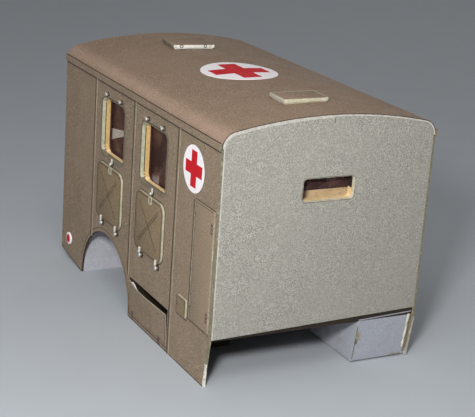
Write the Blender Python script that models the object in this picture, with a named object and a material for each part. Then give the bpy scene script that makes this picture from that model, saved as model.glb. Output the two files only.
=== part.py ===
"""Card model of the box body of a military ambulance truck, about 1:25.

The body is built up as the paper model is: a thin printed skin on thick board cores,
grey board boxes and wheel wells under a floor card, and small printed parts glued on.
X runs across the body, the front wall looks along -Y, Z is up and the skirts stand at Z = 0.
The vehicle's right-hand side is at -X and its left-hand side at +X.
"""

import math

import bmesh
import bpy
from mathutils import Vector

# Overall sizes, in metres
BODY_LENGTH = 0.136
BODY_WIDTH = 0.080
ROOF_CROWN = 0.0904
ROOF_RADIUS = 0.172
ROOF_CORNER_RADIUS = 0.0055

# Card and board thicknesses
SKIN = 0.0006
CORE = 0.0030
GREY_BOARD = 0.0010
FLOOR_BOARD = 0.0015
ROOF_BOARD = 0.0010
OVERLAY = 0.0006
CORNICE_CARD = 0.0004
STRIP = 0.0003
STICKER = 0.0003
FILM = 0.0004
GLUE = 0.0003

# Panels of each side, front to rear: the two window bays share the length between these
FRONT_PANEL = 0.0300
REAR_PANEL = 0.0322
SEAM_WIDTH = 0.0011

# Lower edges of the body
WALL_BOTTOM = 0.0165
FLOOR_DROP = 0.0007
SKIRT_FRONT_SLANT = 0.0026
REAR_SKIRT_RISE = 0.0031

# Cornice strip over the joint of side skin and roof skin
CORNICE_HEIGHT = 0.0023
CORNICE_OVERLAP = 0.0004

# Wheel arch and the well behind it
ARCH_TO_REAR = 0.0465
ARCH_RADIUS = 0.0236
ARCH_STEPS = 28
WELL_ROOM = 0.0001
WELL_HEADROOM = 0.0006
WELL_DEPTH = 0.0224

# Side windows, each a little behind the middle of its bay
WINDOW_PILLAR = 0.0078
WINDOW_SHIFT = 0.0015
WINDOW_DROP = 0.0054
WINDOW_HEIGHT = 0.0216
WINDOW_RADIUS = 0.0030
FILM_LAP = 0.0020

# Stowed blackout covers between the windows and the wheel arch
COVER_PILLAR = 0.0068
COVER_DROP = 0.0031
COVER_ABOVE_ARCH = 0.0055
COVER_RADIUS = 0.0034
COVER_RIB_WIDTH = 0.0010
COVER_RIB_RAISE = 0.00015
COVER_RIB_SPAN = 0.66

# Catches: pins glued to the skin, each with a lug that turns over a cover's edge
PIN_RADIUS = 0.0008
LUG_WIDTH = 0.0008
LUG_THICKNESS = 0.0005
LUG_REACH = 0.0031
CATCH_SHIFT = -0.0012
TOP_CATCH_SPACING = 0.0129
TOP_CATCH_RAISE = 0.0016
LOW_CATCH_SPACING = 0.0139
LOW_CATCH_DROP = 0.0017
CLIP_DROP = 0.0016

# Front wall window
FRONT_WINDOW_WIDTH = 0.0196
FRONT_WINDOW_BOTTOM = 0.0615
FRONT_WINDOW_HEIGHT = 0.0079
FRONT_WINDOW_RADIUS = 0.0016

# Rear doors and their windows
REAR_DOOR_SILL = 0.0015
REAR_DOOR_HEAD = 0.0033
REAR_DOOR_POST = 0.0107
REAR_DOOR_SPLIT = 0.0006
REAR_DOOR_RADIUS = 0.0020
REAR_WINDOW_PILLAR = 0.0070
REAR_WINDOW_DROP = 0.0080
REAR_WINDOW_HEIGHT = 0.0180

# Tall locker door and its latch plate, on the front panel of each side
TALL_DOOR_FRONT = 0.0009
TALL_DOOR_WIDTH = 0.0142
TALL_DOOR_SILL = 0.0026
PLATE_RADIUS = 0.0006
LATCH_GAP = 0.0023
LATCH_TO_SEAM = 0.0052
LATCH_SILL = 0.0015
LATCH_HEIGHT = 0.0066

# Signs and reflectors
SIDE_SIGN_RADIUS = 0.0079
SIGN_TO_CORNICE = 0.0031
SIGN_TO_DOOR = 0.0013
SIGN_TO_SEAM = 0.0033
ROOF_SIGN_RADIUS = 0.0144
ROOF_SIGN_FORWARD = 0.0036
ROOF_SIGN_ASIDE = -0.0010
CROSS_REACH = 0.775
CROSS_ARM = 0.258
CROSS_RAISE = 0.00015
REFLECTOR_TO_REAR = 0.0087
REFLECTOR_HEIGHT = 0.0093
REFLECTOR_RADIUS = 0.0025

# Lower locker opening and its flap
LOCKER_SETBACK = 0.0020
LOCKER_POST = 0.0006
LOCKER_SILL = 0.0013
LOCKER_RADIUS = 0.0004
FLAP_CLEARANCE = 0.0006
FLAP_TOP_GAP = 0.0012
FLAP_HINGE_GAP = 0.0003
FLAP_LEAN_DEG = 3.0

# Grey board boxes under the floor
LOWER_BOX_WIDTH = 0.0226
LEFT_BOX_WIDTH = 0.0240
LOCKER_BOX_AHEAD = 0.0026
REAR_BOX_SETBACK = 0.0012

# Roof hatches
HATCH_WIDTH = 0.0169
HATCH_THICKNESS = 0.0014
FRONT_HATCH_LENGTH = 0.0103
FRONT_HATCH_BACK = 0.0206
FRONT_HATCH_ASIDE = -0.0019
REAR_HATCH_LENGTH = 0.0141
REAR_HATCH_TO_REAR = 0.0252
REAR_HATCH_TURN_DEG = -6.0

# Places worked out from the sizes above
OVERALL_LENGTH = BODY_LENGTH + GLUE + OVERLAY
HALF_WIDTH = BODY_WIDTH / 2
SKIN_INNER = HALF_WIDTH - SKIN
CORE_OUTER = SKIN_INNER - GLUE
CORE_INNER = CORE_OUTER - CORE
SEAT = HALF_WIDTH + GLUE
COVER_FACE = SEAT + OVERLAY
LUG_SEAT = COVER_FACE + GLUE
ROOF_CENTRE = ROOF_CROWN - ROOF_RADIUS
CORNER_ACROSS = HALF_WIDTH - ROOF_CORNER_RADIUS
EAVES = ROOF_CENTRE + math.sqrt((ROOF_RADIUS - ROOF_CORNER_RADIUS) ** 2 - CORNER_ACROSS ** 2)
CORNICE_BOTTOM = EAVES - GLUE - CORNICE_OVERLAP / 2
SKIN_TOP = EAVES - GLUE
BAY = (BODY_LENGTH - FRONT_PANEL - REAR_PANEL) / 2
SEAMS = {"front": FRONT_PANEL, "middle": FRONT_PANEL + BAY, "rear": FRONT_PANEL + 2 * BAY}
WINDOWS = {"front": FRONT_PANEL + BAY / 2 + WINDOW_SHIFT, "rear": FRONT_PANEL + 3 * BAY / 2 + WINDOW_SHIFT}
WINDOW_WIDTH = BAY - 2 * WINDOW_PILLAR
WINDOW_TOP = CORNICE_BOTTOM - WINDOW_DROP
WINDOW_BOTTOM = WINDOW_TOP - WINDOW_HEIGHT
COVER_WIDTH = BAY - 2 * COVER_PILLAR
COVER_TOP = WINDOW_BOTTOM - COVER_DROP
COVER_BOTTOM = ARCH_RADIUS + COVER_ABOVE_ARCH
ARCH_CENTRE = BODY_LENGTH - ARCH_TO_REAR
ARCH_FRONT = ARCH_CENTRE - ARCH_RADIUS
ARCH_REAR = ARCH_CENTRE + ARCH_RADIUS
WELL_FRONT = ARCH_FRONT - WELL_ROOM
WELL_REAR = ARCH_REAR + WELL_ROOM
WELL_TOP = ARCH_RADIUS + WELL_HEADROOM + GREY_BOARD
FLOOR_UNDERSIDE = WALL_BOTTOM - FLOOR_DROP
LOWER_BOX_TOP = FLOOR_UNDERSIDE - GLUE
LOCKER_FRONT = FRONT_PANEL + LOCKER_SETBACK
LOCKER_REAR = ARCH_FRONT - LOCKER_POST
LOCKER_MIDDLE = (LOCKER_FRONT + LOCKER_REAR) / 2
HINGE_HEIGHT = LOCKER_SILL + FLAP_HINGE_GAP
END_WALL = SKIN + GLUE + CORE + GLUE

SIDES = {"right": -1, "left": 1}

# Colour, roughness and metallic value of each material
MATERIALS = {
    "printed_side": ((0.20, 0.16, 0.115), 0.75, 0.0),
    "printed_roof": ((0.25, 0.19, 0.14), 0.75, 0.0),
    "printed_front": ((0.42, 0.41, 0.35), 0.70, 0.0),
    "ochre_board": ((0.52, 0.38, 0.20), 0.80, 0.0),
    "grey_board": ((0.36, 0.36, 0.40), 0.80, 0.0),
    "clear_film": ((0.60, 0.62, 0.60), 0.10, 0.0),
    "sign_print": ((0.75, 0.72, 0.73), 0.60, 0.0),
    "reflector_print": ((0.60, 0.05, 0.06), 0.45, 0.0),
}


def clear_scene():
    """Remove every object that the file opens with."""
    for thing in list(bpy.data.objects):
        bpy.data.objects.remove(thing, do_unlink=True)


def material(name):
    """Return the named card material, made on its first use."""
    found = bpy.data.materials.get(name)
    if found:
        return found
    colour, roughness, metallic = MATERIALS[name]
    made = bpy.data.materials.new(name)
    made.use_nodes = True
    shader = made.node_tree.nodes["Principled BSDF"]
    shader.inputs["Base Color"].default_value = (*colour, 1.0)
    shader.inputs["Roughness"].default_value = roughness
    shader.inputs["Metallic"].default_value = metallic
    made.diffuse_color = (*colour, 1.0)
    return made


def back(distance):
    """World Y of a place measured back from the front wall's face."""
    return distance - OVERALL_LENGTH / 2


# Outlines, as lists of points

def arc(centre, radius, start_deg, end_deg, steps):
    """Points along an arc, both ends included."""
    turn = math.radians(end_deg - start_deg) / steps
    first = math.radians(start_deg)
    return [(centre[0] + radius * math.cos(first + turn * i),
             centre[1] + radius * math.sin(first + turn * i)) for i in range(steps + 1)]


def circle(centre, radius, steps):
    """Points round a circle."""
    return arc(centre, radius, 0, 360, steps)[:-1]


def rounded_box(low, high, radius, steps=4):
    """Outline of a rectangle with round corners, no rounder than the rectangle allows."""
    radius = min(radius, 0.45 * (high[0] - low[0]), 0.45 * (high[1] - low[1]))
    corners = [((high[0] - radius, high[1] - radius), 0), ((low[0] + radius, high[1] - radius), 90),
               ((low[0] + radius, low[1] + radius), 180), ((high[0] - radius, low[1] + radius), 270)]
    outline = []
    for centre, start in corners:
        outline += arc(centre, radius, start, start + 90, steps)
    return outline


def grown(low, high, margin):
    """Low and high corners moved out by a margin."""
    return (low[0] - margin, low[1] - margin), (high[0] + margin, high[1] + margin)


def cross_outline(centre, sign_radius):
    """Outline of the equal-armed cross on a round sign."""
    reach = sign_radius * CROSS_REACH
    arm = sign_radius * CROSS_ARM
    outline = []
    for turn in range(4):
        angle = -turn * math.pi / 2
        for u, v in ((arm, reach), (arm, arm), (reach, arm)):
            outline.append((centre[0] + u * math.cos(angle) - v * math.sin(angle),
                            centre[1] + u * math.sin(angle) + v * math.cos(angle)))
    return outline


def roof_outline(inset):
    """Roof line across the body, from the left eaves over to the right, moved in by inset."""
    lean = math.degrees(math.atan2(EAVES - ROOF_CENTRE, CORNER_ACROSS))
    line = arc((CORNER_ACROSS, EAVES), ROOF_CORNER_RADIUS - inset, 0, lean, 8)
    line += arc((0, ROOF_CENTRE), ROOF_RADIUS - inset, lean, 180 - lean, 20)[1:-1]
    line += arc((-CORNER_ACROSS, EAVES), ROOF_CORNER_RADIUS - inset, 180 - lean, 180, 8)
    return line


def skirt_bottom(distance):
    """Height of the side's lower edge at a distance back from the front wall."""
    from_arch = abs(distance - ARCH_CENTRE)
    if from_arch < ARCH_RADIUS:
        return math.sqrt(ARCH_RADIUS ** 2 - from_arch ** 2)
    if distance > ARCH_REAR:
        return REAR_SKIRT_RISE * (distance - ARCH_REAR) / (BODY_LENGTH - ARCH_REAR)
    return 0.0


# Solids

def finish(name, shape, material_name):
    """Turn a bmesh into a named object with its material."""
    bmesh.ops.recalc_face_normals(shape, faces=shape.faces)
    mesh = bpy.data.meshes.new(name)
    shape.to_mesh(mesh)
    shape.free()
    mesh.materials.append(material(material_name))
    thing = bpy.data.objects.new(name, mesh)
    bpy.context.scene.collection.objects.link(thing)
    return thing


def prisms(name, outlines, axis, low, high, material_name):
    """Extrude outlines along X, Y or Z as one object. Their pairs are (Y, Z), (X, Z) or (X, Y)."""
    place = {"X": lambda u, v: (low, u, v), "Y": lambda u, v: (u, low, v), "Z": lambda u, v: (u, v, low)}
    way = {"X": Vector((1, 0, 0)), "Y": Vector((0, 1, 0)), "Z": Vector((0, 0, 1))}
    shape = bmesh.new()
    for outline in outlines:
        face = shape.faces.new([shape.verts.new(place[axis](u, v)) for u, v in outline])
        swept = bmesh.ops.extrude_face_region(shape, geom=[face])
        moved = [item for item in swept["geom"] if isinstance(item, bmesh.types.BMVert)]
        bmesh.ops.translate(shape, verts=moved, vec=way[axis] * (high - low))
    return finish(name, shape, material_name)


def prism(name, outline, axis, low, high, material_name):
    """Extrude one outline."""
    return prisms(name, [outline], axis, low, high, material_name)


def side_prism(name, side, outline, near, far, material_name):
    """Extrude a (Y, Z) outline between two distances out from the centre plane."""
    low, high = sorted((SIDES[side] * near, SIDES[side] * far))
    return prism(name, outline, "X", low, high, material_name)


def combine(thing, other, operation):
    """Cut, join or trim with another solid by a live Boolean, and keep that solid as a guide."""
    change = thing.modifiers.new(operation.lower(), "BOOLEAN")
    change.operation = operation
    change.solver = "EXACT"
    change.object = other
    other.hide_render = True
    other.display_type = "WIRE"


def cut(thing, cutter):
    """Cut one solid out of another."""
    combine(thing, cutter, "DIFFERENCE")


def join(thing, other):
    """Join a glued part to the solid that carries it."""
    combine(thing, other, "UNION")


# Side walls

def window_corners(place):
    """Low and high corners of a side window, as (Y, Z) pairs."""
    middle = back(WINDOWS[place])
    return (middle - WINDOW_WIDTH / 2, WINDOW_BOTTOM), (middle + WINDOW_WIDTH / 2, WINDOW_TOP)


def window_outline(place, lap=0.0):
    """Outline of a side window, widened all round by lap."""
    low, high = grown(*window_corners(place), lap)
    return rounded_box(low, high, WINDOW_RADIUS + lap)


def side_skin_outline():
    """Outline of a side skin, with its slanted front, wheel arch and rising tail."""
    outline = [(back(0), SKIN_TOP), (back(0), WALL_BOTTOM), (back(SKIRT_FRONT_SLANT), 0)]
    outline += arc((back(ARCH_CENTRE), 0), ARCH_RADIUS, 180, 0, ARCH_STEPS)
    outline += [(back(BODY_LENGTH), REAR_SKIRT_RISE), (back(BODY_LENGTH), SKIN_TOP)]
    return outline


def catch_places(place):
    """Pin centre and lug direction of the five catches round one window and its cover."""
    middle = WINDOWS[place] + CATCH_SHIFT
    above = WINDOW_TOP + TOP_CATCH_RAISE
    below = COVER_BOTTOM - LOW_CATCH_DROP
    catches = [((middle, WINDOW_BOTTOM - CLIP_DROP), "up")]
    for way in (-1, 1):
        catches.append(((middle - PIN_RADIUS + way * TOP_CATCH_SPACING / 2, above), "rear"))
        catches.append(((middle + way * LOW_CATCH_SPACING / 2, below), "up"))
    return catches


def make_catches(side, skin):
    """Join the pins and lugs of one side to its skin."""
    pins = []
    lugs = []
    half = LUG_WIDTH / 2
    for place in WINDOWS:
        for (distance, height), way in catch_places(place):
            y = back(distance)
            pins.append(circle((y, height), PIN_RADIUS, 10))
            if way == "up":
                lugs.append([(y - half, height), (y + half, height),
                             (y + half, height + LUG_REACH), (y - half, height + LUG_REACH)])
            else:
                lugs.append([(y, height - half), (y + LUG_REACH, height - half),
                             (y + LUG_REACH, height + half), (y, height + half)])
    for label, outlines, near, far in (("pins", pins, HALF_WIDTH - SKIN / 2, LUG_SEAT + LUG_THICKNESS),
                                       ("lugs", lugs, LUG_SEAT, LUG_SEAT + LUG_THICKNESS / 2)):
        low, high = sorted((SIDES[side] * near, SIDES[side] * far))
        join(skin, prisms(f"catch_{label}_{side}", outlines, "X", low, high, "printed_side"))


def make_side_skin(side):
    """Printed outer skin of one side, down to the skirt, with the catches that it carries."""
    skin = side_prism(f"side_skin_{side}", side, side_skin_outline(), SKIN_INNER, HALF_WIDTH, "printed_side")
    for place in WINDOWS:
        cut(skin, side_prism(f"cut_skin_{place}_{side}", side, window_outline(place),
                             CORE_INNER, HALF_WIDTH + CORE, "printed_side"))
    if side == "right":
        opening = rounded_box((back(LOCKER_FRONT), LOCKER_SILL), (back(LOCKER_REAR), LOWER_BOX_TOP),
                              LOCKER_RADIUS)
        cut(skin, side_prism("cut_locker", side, opening, CORE_INNER, HALF_WIDTH + CORE, "printed_side"))
    make_catches(side, skin)


def make_side_core(side):
    """Thick board inside one side skin, above the floor, with its windows and their films."""
    front = SKIN + GLUE
    rear = BODY_LENGTH - front
    notch_front = WELL_FRONT - GREY_BOARD - GLUE
    notch_rear = WELL_REAR + GREY_BOARD + GLUE
    notch_top = WELL_TOP + GLUE
    outline = [(back(front), SKIN_TOP), (back(front), WALL_BOTTOM), (back(notch_front), WALL_BOTTOM),
               (back(notch_front), notch_top), (back(notch_rear), notch_top),
               (back(notch_rear), WALL_BOTTOM), (back(rear), WALL_BOTTOM), (back(rear), SKIN_TOP)]
    core = side_prism(f"side_core_{side}", side, outline, CORE_INNER, CORE_OUTER, "ochre_board")
    for place in WINDOWS:
        cut(core, side_prism(f"cut_core_{place}_{side}", side, window_outline(place),
                             CORE_INNER - CORE, HALF_WIDTH, "ochre_board"))
        side_prism(f"window_film_{place}_{side}", side, window_outline(place, FILM_LAP),
                   CORE_INNER - GLUE - FILM, CORE_INNER - GLUE, "clear_film")


def make_cornice(side):
    """Strip over the joint between a side skin and the roof skin."""
    top = CORNICE_BOTTOM + CORNICE_HEIGHT
    outline = [(back(0), CORNICE_BOTTOM), (back(BODY_LENGTH), CORNICE_BOTTOM), (back(BODY_LENGTH), top),
               (back(0), top)]
    side_prism(f"cornice_{side}", side, outline, SEAT, SEAT + CORNICE_CARD, "printed_side")


def make_seams(side):
    """Thin strips over the joints between the printed panels of one side."""
    top = CORNICE_BOTTOM - GLUE
    for place, distance in SEAMS.items():
        front = distance - SEAM_WIDTH / 2
        rear = distance + SEAM_WIDTH / 2
        feet = (skirt_bottom(front), skirt_bottom(rear))
        if place == "middle":
            feet = (LOWER_BOX_TOP + GLUE, LOWER_BOX_TOP + GLUE)
        outline = [(back(front), feet[0]), (back(rear), feet[1]), (back(rear), top), (back(front), top)]
        side_prism(f"seam_strip_{place}_{side}", side, outline, SEAT, SEAT + STRIP, "printed_side")


def rib_outline(middle, half_span, half_rise, way):
    """Outline of one diagonal rib of a cover, leaning forward or back as way is 1 or -1."""
    along = Vector((half_span, way * half_rise))
    aside = Vector((-along.y, along.x)).normalized() * COVER_RIB_WIDTH / 2
    corners = (-along - aside, along - aside, along + aside, aside - along)
    return [tuple(Vector(middle) + corner) for corner in corners]


def make_cover(side, place):
    """Stowed blackout cover: a round-cornered plate with two crossing ribs."""
    middle = back(WINDOWS[place])
    low = (middle - COVER_WIDTH / 2, COVER_BOTTOM)
    high = (middle + COVER_WIDTH / 2, COVER_TOP)
    name = f"blackout_cover_{place}_{side}"
    cover = side_prism(name, side, rounded_box(low, high, COVER_RADIUS), SEAT, COVER_FACE, "printed_side")
    centre = (middle, (COVER_BOTTOM + COVER_TOP) / 2)
    half_span = COVER_RIB_SPAN * COVER_WIDTH / 2
    half_rise = COVER_RIB_SPAN * (COVER_TOP - COVER_BOTTOM) / 2
    for label, way in (("up", 1), ("down", -1)):
        rib = side_prism(f"rib_{label}_{name}", side, rib_outline(centre, half_span, half_rise, way),
                         SEAT + OVERLAY / 2, COVER_FACE + COVER_RIB_RAISE, "printed_side")
        join(cover, rib)


def make_front_panel_parts(side):
    """Round sign, tall locker door and latch plate on the front panel of one side."""
    height = CORNICE_BOTTOM - SIGN_TO_CORNICE - SIDE_SIGN_RADIUS
    centre = (back(FRONT_PANEL - SEAM_WIDTH / 2 - SIGN_TO_SEAM - SIDE_SIGN_RADIUS), height)
    sign = side_prism(f"red_cross_{side}", side, circle(centre, SIDE_SIGN_RADIUS, 40), SEAT, SEAT + STICKER,
                      "sign_print")
    join(sign, side_prism(f"cross_{side}", side, cross_outline(centre, SIDE_SIGN_RADIUS),
                          SEAT + STICKER / 2, SEAT + STICKER + CROSS_RAISE, "reflector_print"))
    door_rear = TALL_DOOR_FRONT + TALL_DOOR_WIDTH
    door = rounded_box((back(TALL_DOOR_FRONT), WALL_BOTTOM + TALL_DOOR_SILL),
                       (back(door_rear), height - SIDE_SIGN_RADIUS - SIGN_TO_DOOR), PLATE_RADIUS)
    side_prism(f"tall_locker_door_{side}", side, door, SEAT, SEAT + OVERLAY, "printed_side")
    latch_bottom = WALL_BOTTOM + LATCH_SILL
    latch = rounded_box((back(door_rear + LATCH_GAP), latch_bottom),
                        (back(FRONT_PANEL - SEAM_WIDTH / 2 - LATCH_TO_SEAM), latch_bottom + LATCH_HEIGHT),
                        PLATE_RADIUS)
    side_prism(f"latch_plate_{side}", side, latch, SEAT, SEAT + STRIP, "printed_side")


def make_reflector(side):
    """Round reflector near the rear corner of one side."""
    centre = (back(BODY_LENGTH - REFLECTOR_TO_REAR), REFLECTOR_HEIGHT)
    side_prism(f"reflector_{side}", side, circle(centre, REFLECTOR_RADIUS, 24), SEAT, SEAT + OVERLAY,
               "reflector_print")


# Locker flap

def make_locker_flap():
    """Flap of the lower locker, hinged along its bottom edge and left a little open."""
    half = (LOCKER_REAR - LOCKER_FRONT) / 2 - FLAP_CLEARANCE
    height = LOWER_BOX_TOP - HINGE_HEIGHT - FLAP_TOP_GAP
    outline = [(-half, 0), (half, 0), (half, height), (-half, height)]
    flap = prism("locker_flap", outline, "X", 0, SKIN, "printed_side")
    flap.location = (-HALF_WIDTH, back(LOCKER_MIDDLE), HINGE_HEIGHT)
    flap.rotation_euler = (0, -math.radians(FLAP_LEAN_DEG), 0)


# Roof

def roof_shell(name, outer, inner, front, rear, material_name):
    """Curved card between two insets of the roof line."""
    return prism(name, roof_outline(outer) + roof_outline(inner)[::-1], "Y", back(front), back(rear),
                 material_name)


def make_hatch(place, distance, aside, length, turn_deg):
    """Flat hatch plate on the crown of the roof, turned a little where it was glued askew."""
    outline = [(-HATCH_WIDTH / 2, -length / 2), (HATCH_WIDTH / 2, -length / 2),
               (HATCH_WIDTH / 2, length / 2), (-HATCH_WIDTH / 2, length / 2)]
    hatch = prism(f"roof_hatch_{place}", outline, "Z", 0, HATCH_THICKNESS, "printed_roof")
    hatch.location = (aside, back(distance), ROOF_CROWN + GLUE)
    hatch.rotation_euler = (0, 0, math.radians(turn_deg))


def make_roof_sign():
    """Round sign that lies on the roof's curve, with its raised cross."""
    middle = BODY_LENGTH / 2 - ROOF_SIGN_FORWARD
    centre = (ROOF_SIGN_ASIDE, back(middle))
    front = middle - 1.2 * ROOF_SIGN_RADIUS
    rear = middle + 1.2 * ROOF_SIGN_RADIUS
    sign = roof_shell("red_cross_roof", -GLUE - STICKER, -GLUE, front, rear, "sign_print")
    low = EAVES
    high = ROOF_CROWN + CORE
    disc = circle(centre, ROOF_SIGN_RADIUS, 48)
    combine(sign, prism("trim_roof_sign", disc, "Z", low, high, "sign_print"), "INTERSECT")
    cross = roof_shell("roof_cross", -GLUE - STICKER - CROSS_RAISE, -GLUE - STICKER / 2, front, rear,
                       "reflector_print")
    combine(cross, prism("trim_roof_cross", cross_outline(centre, ROOF_SIGN_RADIUS), "Z", low, high,
                         "reflector_print"), "INTERSECT")
    join(sign, cross)


def make_roof():
    """Printed roof skin, its inner board, the hatches and the roof sign."""
    roof_shell("roof_skin", 0.0, SKIN, 0.0, BODY_LENGTH, "printed_roof")
    roof_shell("roof_board", SKIN + GLUE, SKIN + GLUE + ROOF_BOARD, END_WALL, BODY_LENGTH - END_WALL,
               "ochre_board")
    make_hatch("front", FRONT_HATCH_BACK, FRONT_HATCH_ASIDE, FRONT_HATCH_LENGTH, 0.0)
    make_hatch("rear", BODY_LENGTH - REAR_HATCH_TO_REAR, 0.0, REAR_HATCH_LENGTH, REAR_HATCH_TURN_DEG)
    make_roof_sign()


# End walls

def end_skin_outline():
    """Outline of a printed end wall, inside the side and roof skins."""
    half = CORE_OUTER
    return [(-half, WALL_BOTTOM), (half, WALL_BOTTOM)] + roof_outline(SKIN + GLUE)


def end_core_outline():
    """Outline of the board behind an end wall, between the side cores and under the roof board."""
    half = CORE_INNER - GLUE
    crown = [(x, z) for x, z in roof_outline(SKIN + GLUE + ROOF_BOARD) if abs(x) < half]
    return [(-half, WALL_BOTTOM), (half, WALL_BOTTOM), (half, SKIN_TOP)] + crown + [(-half, SKIN_TOP)]


def make_front_wall():
    """Printed front wall, the board behind it and the film of its narrow window."""
    low = (-FRONT_WINDOW_WIDTH / 2, FRONT_WINDOW_BOTTOM)
    high = (FRONT_WINDOW_WIDTH / 2, FRONT_WINDOW_BOTTOM + FRONT_WINDOW_HEIGHT)
    skin = prism("front_wall", end_skin_outline(), "Y", back(0), back(SKIN), "printed_front")
    core = prism("front_core", end_core_outline(), "Y", back(SKIN + GLUE), back(SKIN + GLUE + CORE),
                 "ochre_board")
    for wall in (skin, core):
        cut(wall, prism(f"cut_window_{wall.name}", rounded_box(low, high, FRONT_WINDOW_RADIUS), "Y",
                        back(-CORE), back(END_WALL + CORE), "ochre_board"))
    prism("window_film_bulkhead", rounded_box(*grown(low, high, FILM_LAP), FRONT_WINDOW_RADIUS + FILM_LAP),
          "Y", back(END_WALL), back(END_WALL + FILM), "clear_film")


def make_rear_wall():
    """Printed rear wall, the board behind it, two doors and their window films."""
    skin = prism("rear_wall", end_skin_outline(), "Y", back(BODY_LENGTH - SKIN), back(BODY_LENGTH),
                 "printed_side")
    core_rear = BODY_LENGTH - SKIN - GLUE
    core = prism("rear_core", end_core_outline(), "Y", back(core_rear - CORE), back(core_rear),
                 "ochre_board")
    inner = REAR_DOOR_SPLIT / 2
    outer = HALF_WIDTH - REAR_DOOR_POST
    bottom = WALL_BOTTOM + REAR_DOOR_SILL
    top = EAVES - REAR_DOOR_HEAD
    window_top = top - REAR_WINDOW_DROP
    for side, sign in SIDES.items():
        edges = sorted((sign * inner, sign * outer))
        door = prism(f"rear_door_{side}", rounded_box((edges[0], bottom), (edges[1], top), REAR_DOOR_RADIUS),
                     "Y", back(BODY_LENGTH + GLUE), back(OVERALL_LENGTH), "printed_side")
        low = (edges[0] + REAR_WINDOW_PILLAR, window_top - REAR_WINDOW_HEIGHT)
        high = (edges[1] - REAR_WINDOW_PILLAR, window_top)
        for wall in (skin, core, door):
            cut(wall, prism(f"cut_{wall.name}_{side}", rounded_box(low, high, REAR_DOOR_RADIUS), "Y",
                            back(BODY_LENGTH - END_WALL - CORE), back(OVERALL_LENGTH + CORE), "ochre_board"))
        film = rounded_box(*grown(low, high, FILM_LAP), REAR_DOOR_RADIUS + FILM_LAP)
        prism(f"window_film_door_{side}", film, "Y", back(BODY_LENGTH - END_WALL - FILM),
              back(BODY_LENGTH - END_WALL), "clear_film")


# Floor, wheel wells and the boxes under the floor

def make_floor():
    """Floor card between the board walls, notched for the two wheel wells."""
    half = CORE_INNER - GLUE
    notch_half = CORE_OUTER - WELL_DEPTH - GREY_BOARD - GLUE
    notch_front = WELL_FRONT - GREY_BOARD - GLUE
    notch_rear = WELL_REAR + GREY_BOARD + GLUE
    right = [(-half, back(END_WALL)), (-half, back(notch_front)), (-notch_half, back(notch_front)),
             (-notch_half, back(notch_rear)), (-half, back(notch_rear)),
             (-half, back(BODY_LENGTH - END_WALL))]
    outline = right + [(-x, y) for x, y in reversed(right)]
    prism("floor", outline, "Z", FLOOR_UNDERSIDE, FLOOR_UNDERSIDE + FLOOR_BOARD, "grey_board")


def make_wheel_well(side):
    """Grey board wheel well: two cross walls, a top and an inner wall, open below."""
    board = GREY_BOARD
    inner = CORE_OUTER - WELL_DEPTH
    outline = [(back(WELL_FRONT - board), 0), (back(WELL_REAR + board), 0),
               (back(WELL_REAR + board), WELL_TOP), (back(WELL_FRONT - board), WELL_TOP)]
    well = side_prism(f"wheel_well_{side}", side, outline, inner - board, CORE_OUTER, "grey_board")
    room = [(back(WELL_FRONT), -board), (back(WELL_REAR), -board),
            (back(WELL_REAR), WELL_TOP - board), (back(WELL_FRONT), WELL_TOP - board)]
    cut(well, side_prism(f"cut_well_{side}", side, room, inner, CORE_OUTER + board, "grey_board"))


def make_open_box(name, side, front, rear, width, bottoms, outer_side_open):
    """Folded board box under the floor, open at its top and, for the locker, at its outer side.

    bottoms holds the height of the box's bottom at its front and at its rear.
    """
    board = GREY_BOARD
    near = CORE_OUTER - width
    outline = [(back(front), bottoms[0]), (back(rear), bottoms[1]), (back(rear), LOWER_BOX_TOP),
               (back(front), LOWER_BOX_TOP)]
    box = side_prism(name, side, outline, near, CORE_OUTER, "grey_board")
    above = LOWER_BOX_TOP + board
    room = [(back(front + board), bottoms[0] + board), (back(rear - board), bottoms[1] + board),
            (back(rear - board), above), (back(front + board), above)]
    far = CORE_OUTER + board if outer_side_open else CORE_OUTER - board
    cut(box, side_prism(f"cut_{name}", side, room, near + board, far, "grey_board"))


def make_lower_boxes():
    """The boxes under the floor: a long one on the left, the locker, and one behind each well."""
    rear = WELL_FRONT - GREY_BOARD - GLUE
    make_open_box("front_box_left", "left", 0.0, rear, LEFT_BOX_WIDTH, (0.0, 0.0), False)
    sill = LOCKER_SILL - GREY_BOARD
    make_open_box("locker_box_right", "right", LOCKER_FRONT - LOCKER_BOX_AHEAD, rear, LOWER_BOX_WIDTH,
                  (sill, sill), True)
    front = WELL_REAR + GREY_BOARD + GLUE
    rear = BODY_LENGTH - REAR_BOX_SETBACK
    bottoms = (skirt_bottom(front) + GLUE, skirt_bottom(rear) + GLUE)
    for side in SIDES:
        make_open_box(f"rear_box_{side}", side, front, rear, LOWER_BOX_WIDTH, bottoms, False)


def main():
    """Build the whole body."""
    clear_scene()
    for side in SIDES:
        make_side_skin(side)
        make_side_core(side)
        make_cornice(side)
        make_seams(side)
        for place in WINDOWS:
            make_cover(side, place)
        make_front_panel_parts(side)
        make_reflector(side)
        make_wheel_well(side)
    make_locker_flap()
    make_roof()
    make_front_wall()
    make_rear_wall()
    make_floor()
    make_lower_boxes()


main()
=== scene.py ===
"""Looks of the card model of a military ambulance truck body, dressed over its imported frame.

Lengths are in millimetres, and MM turns them into metres. A distance runs back from the front wall's
face, a height runs up from the ground, and a lift runs out from the face of a side panel.
"""

import math

import bmesh
import bpy
from bpy.props import FloatProperty, FloatVectorProperty, IntProperty, PointerProperty
from mathutils import Matrix, Vector


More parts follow.
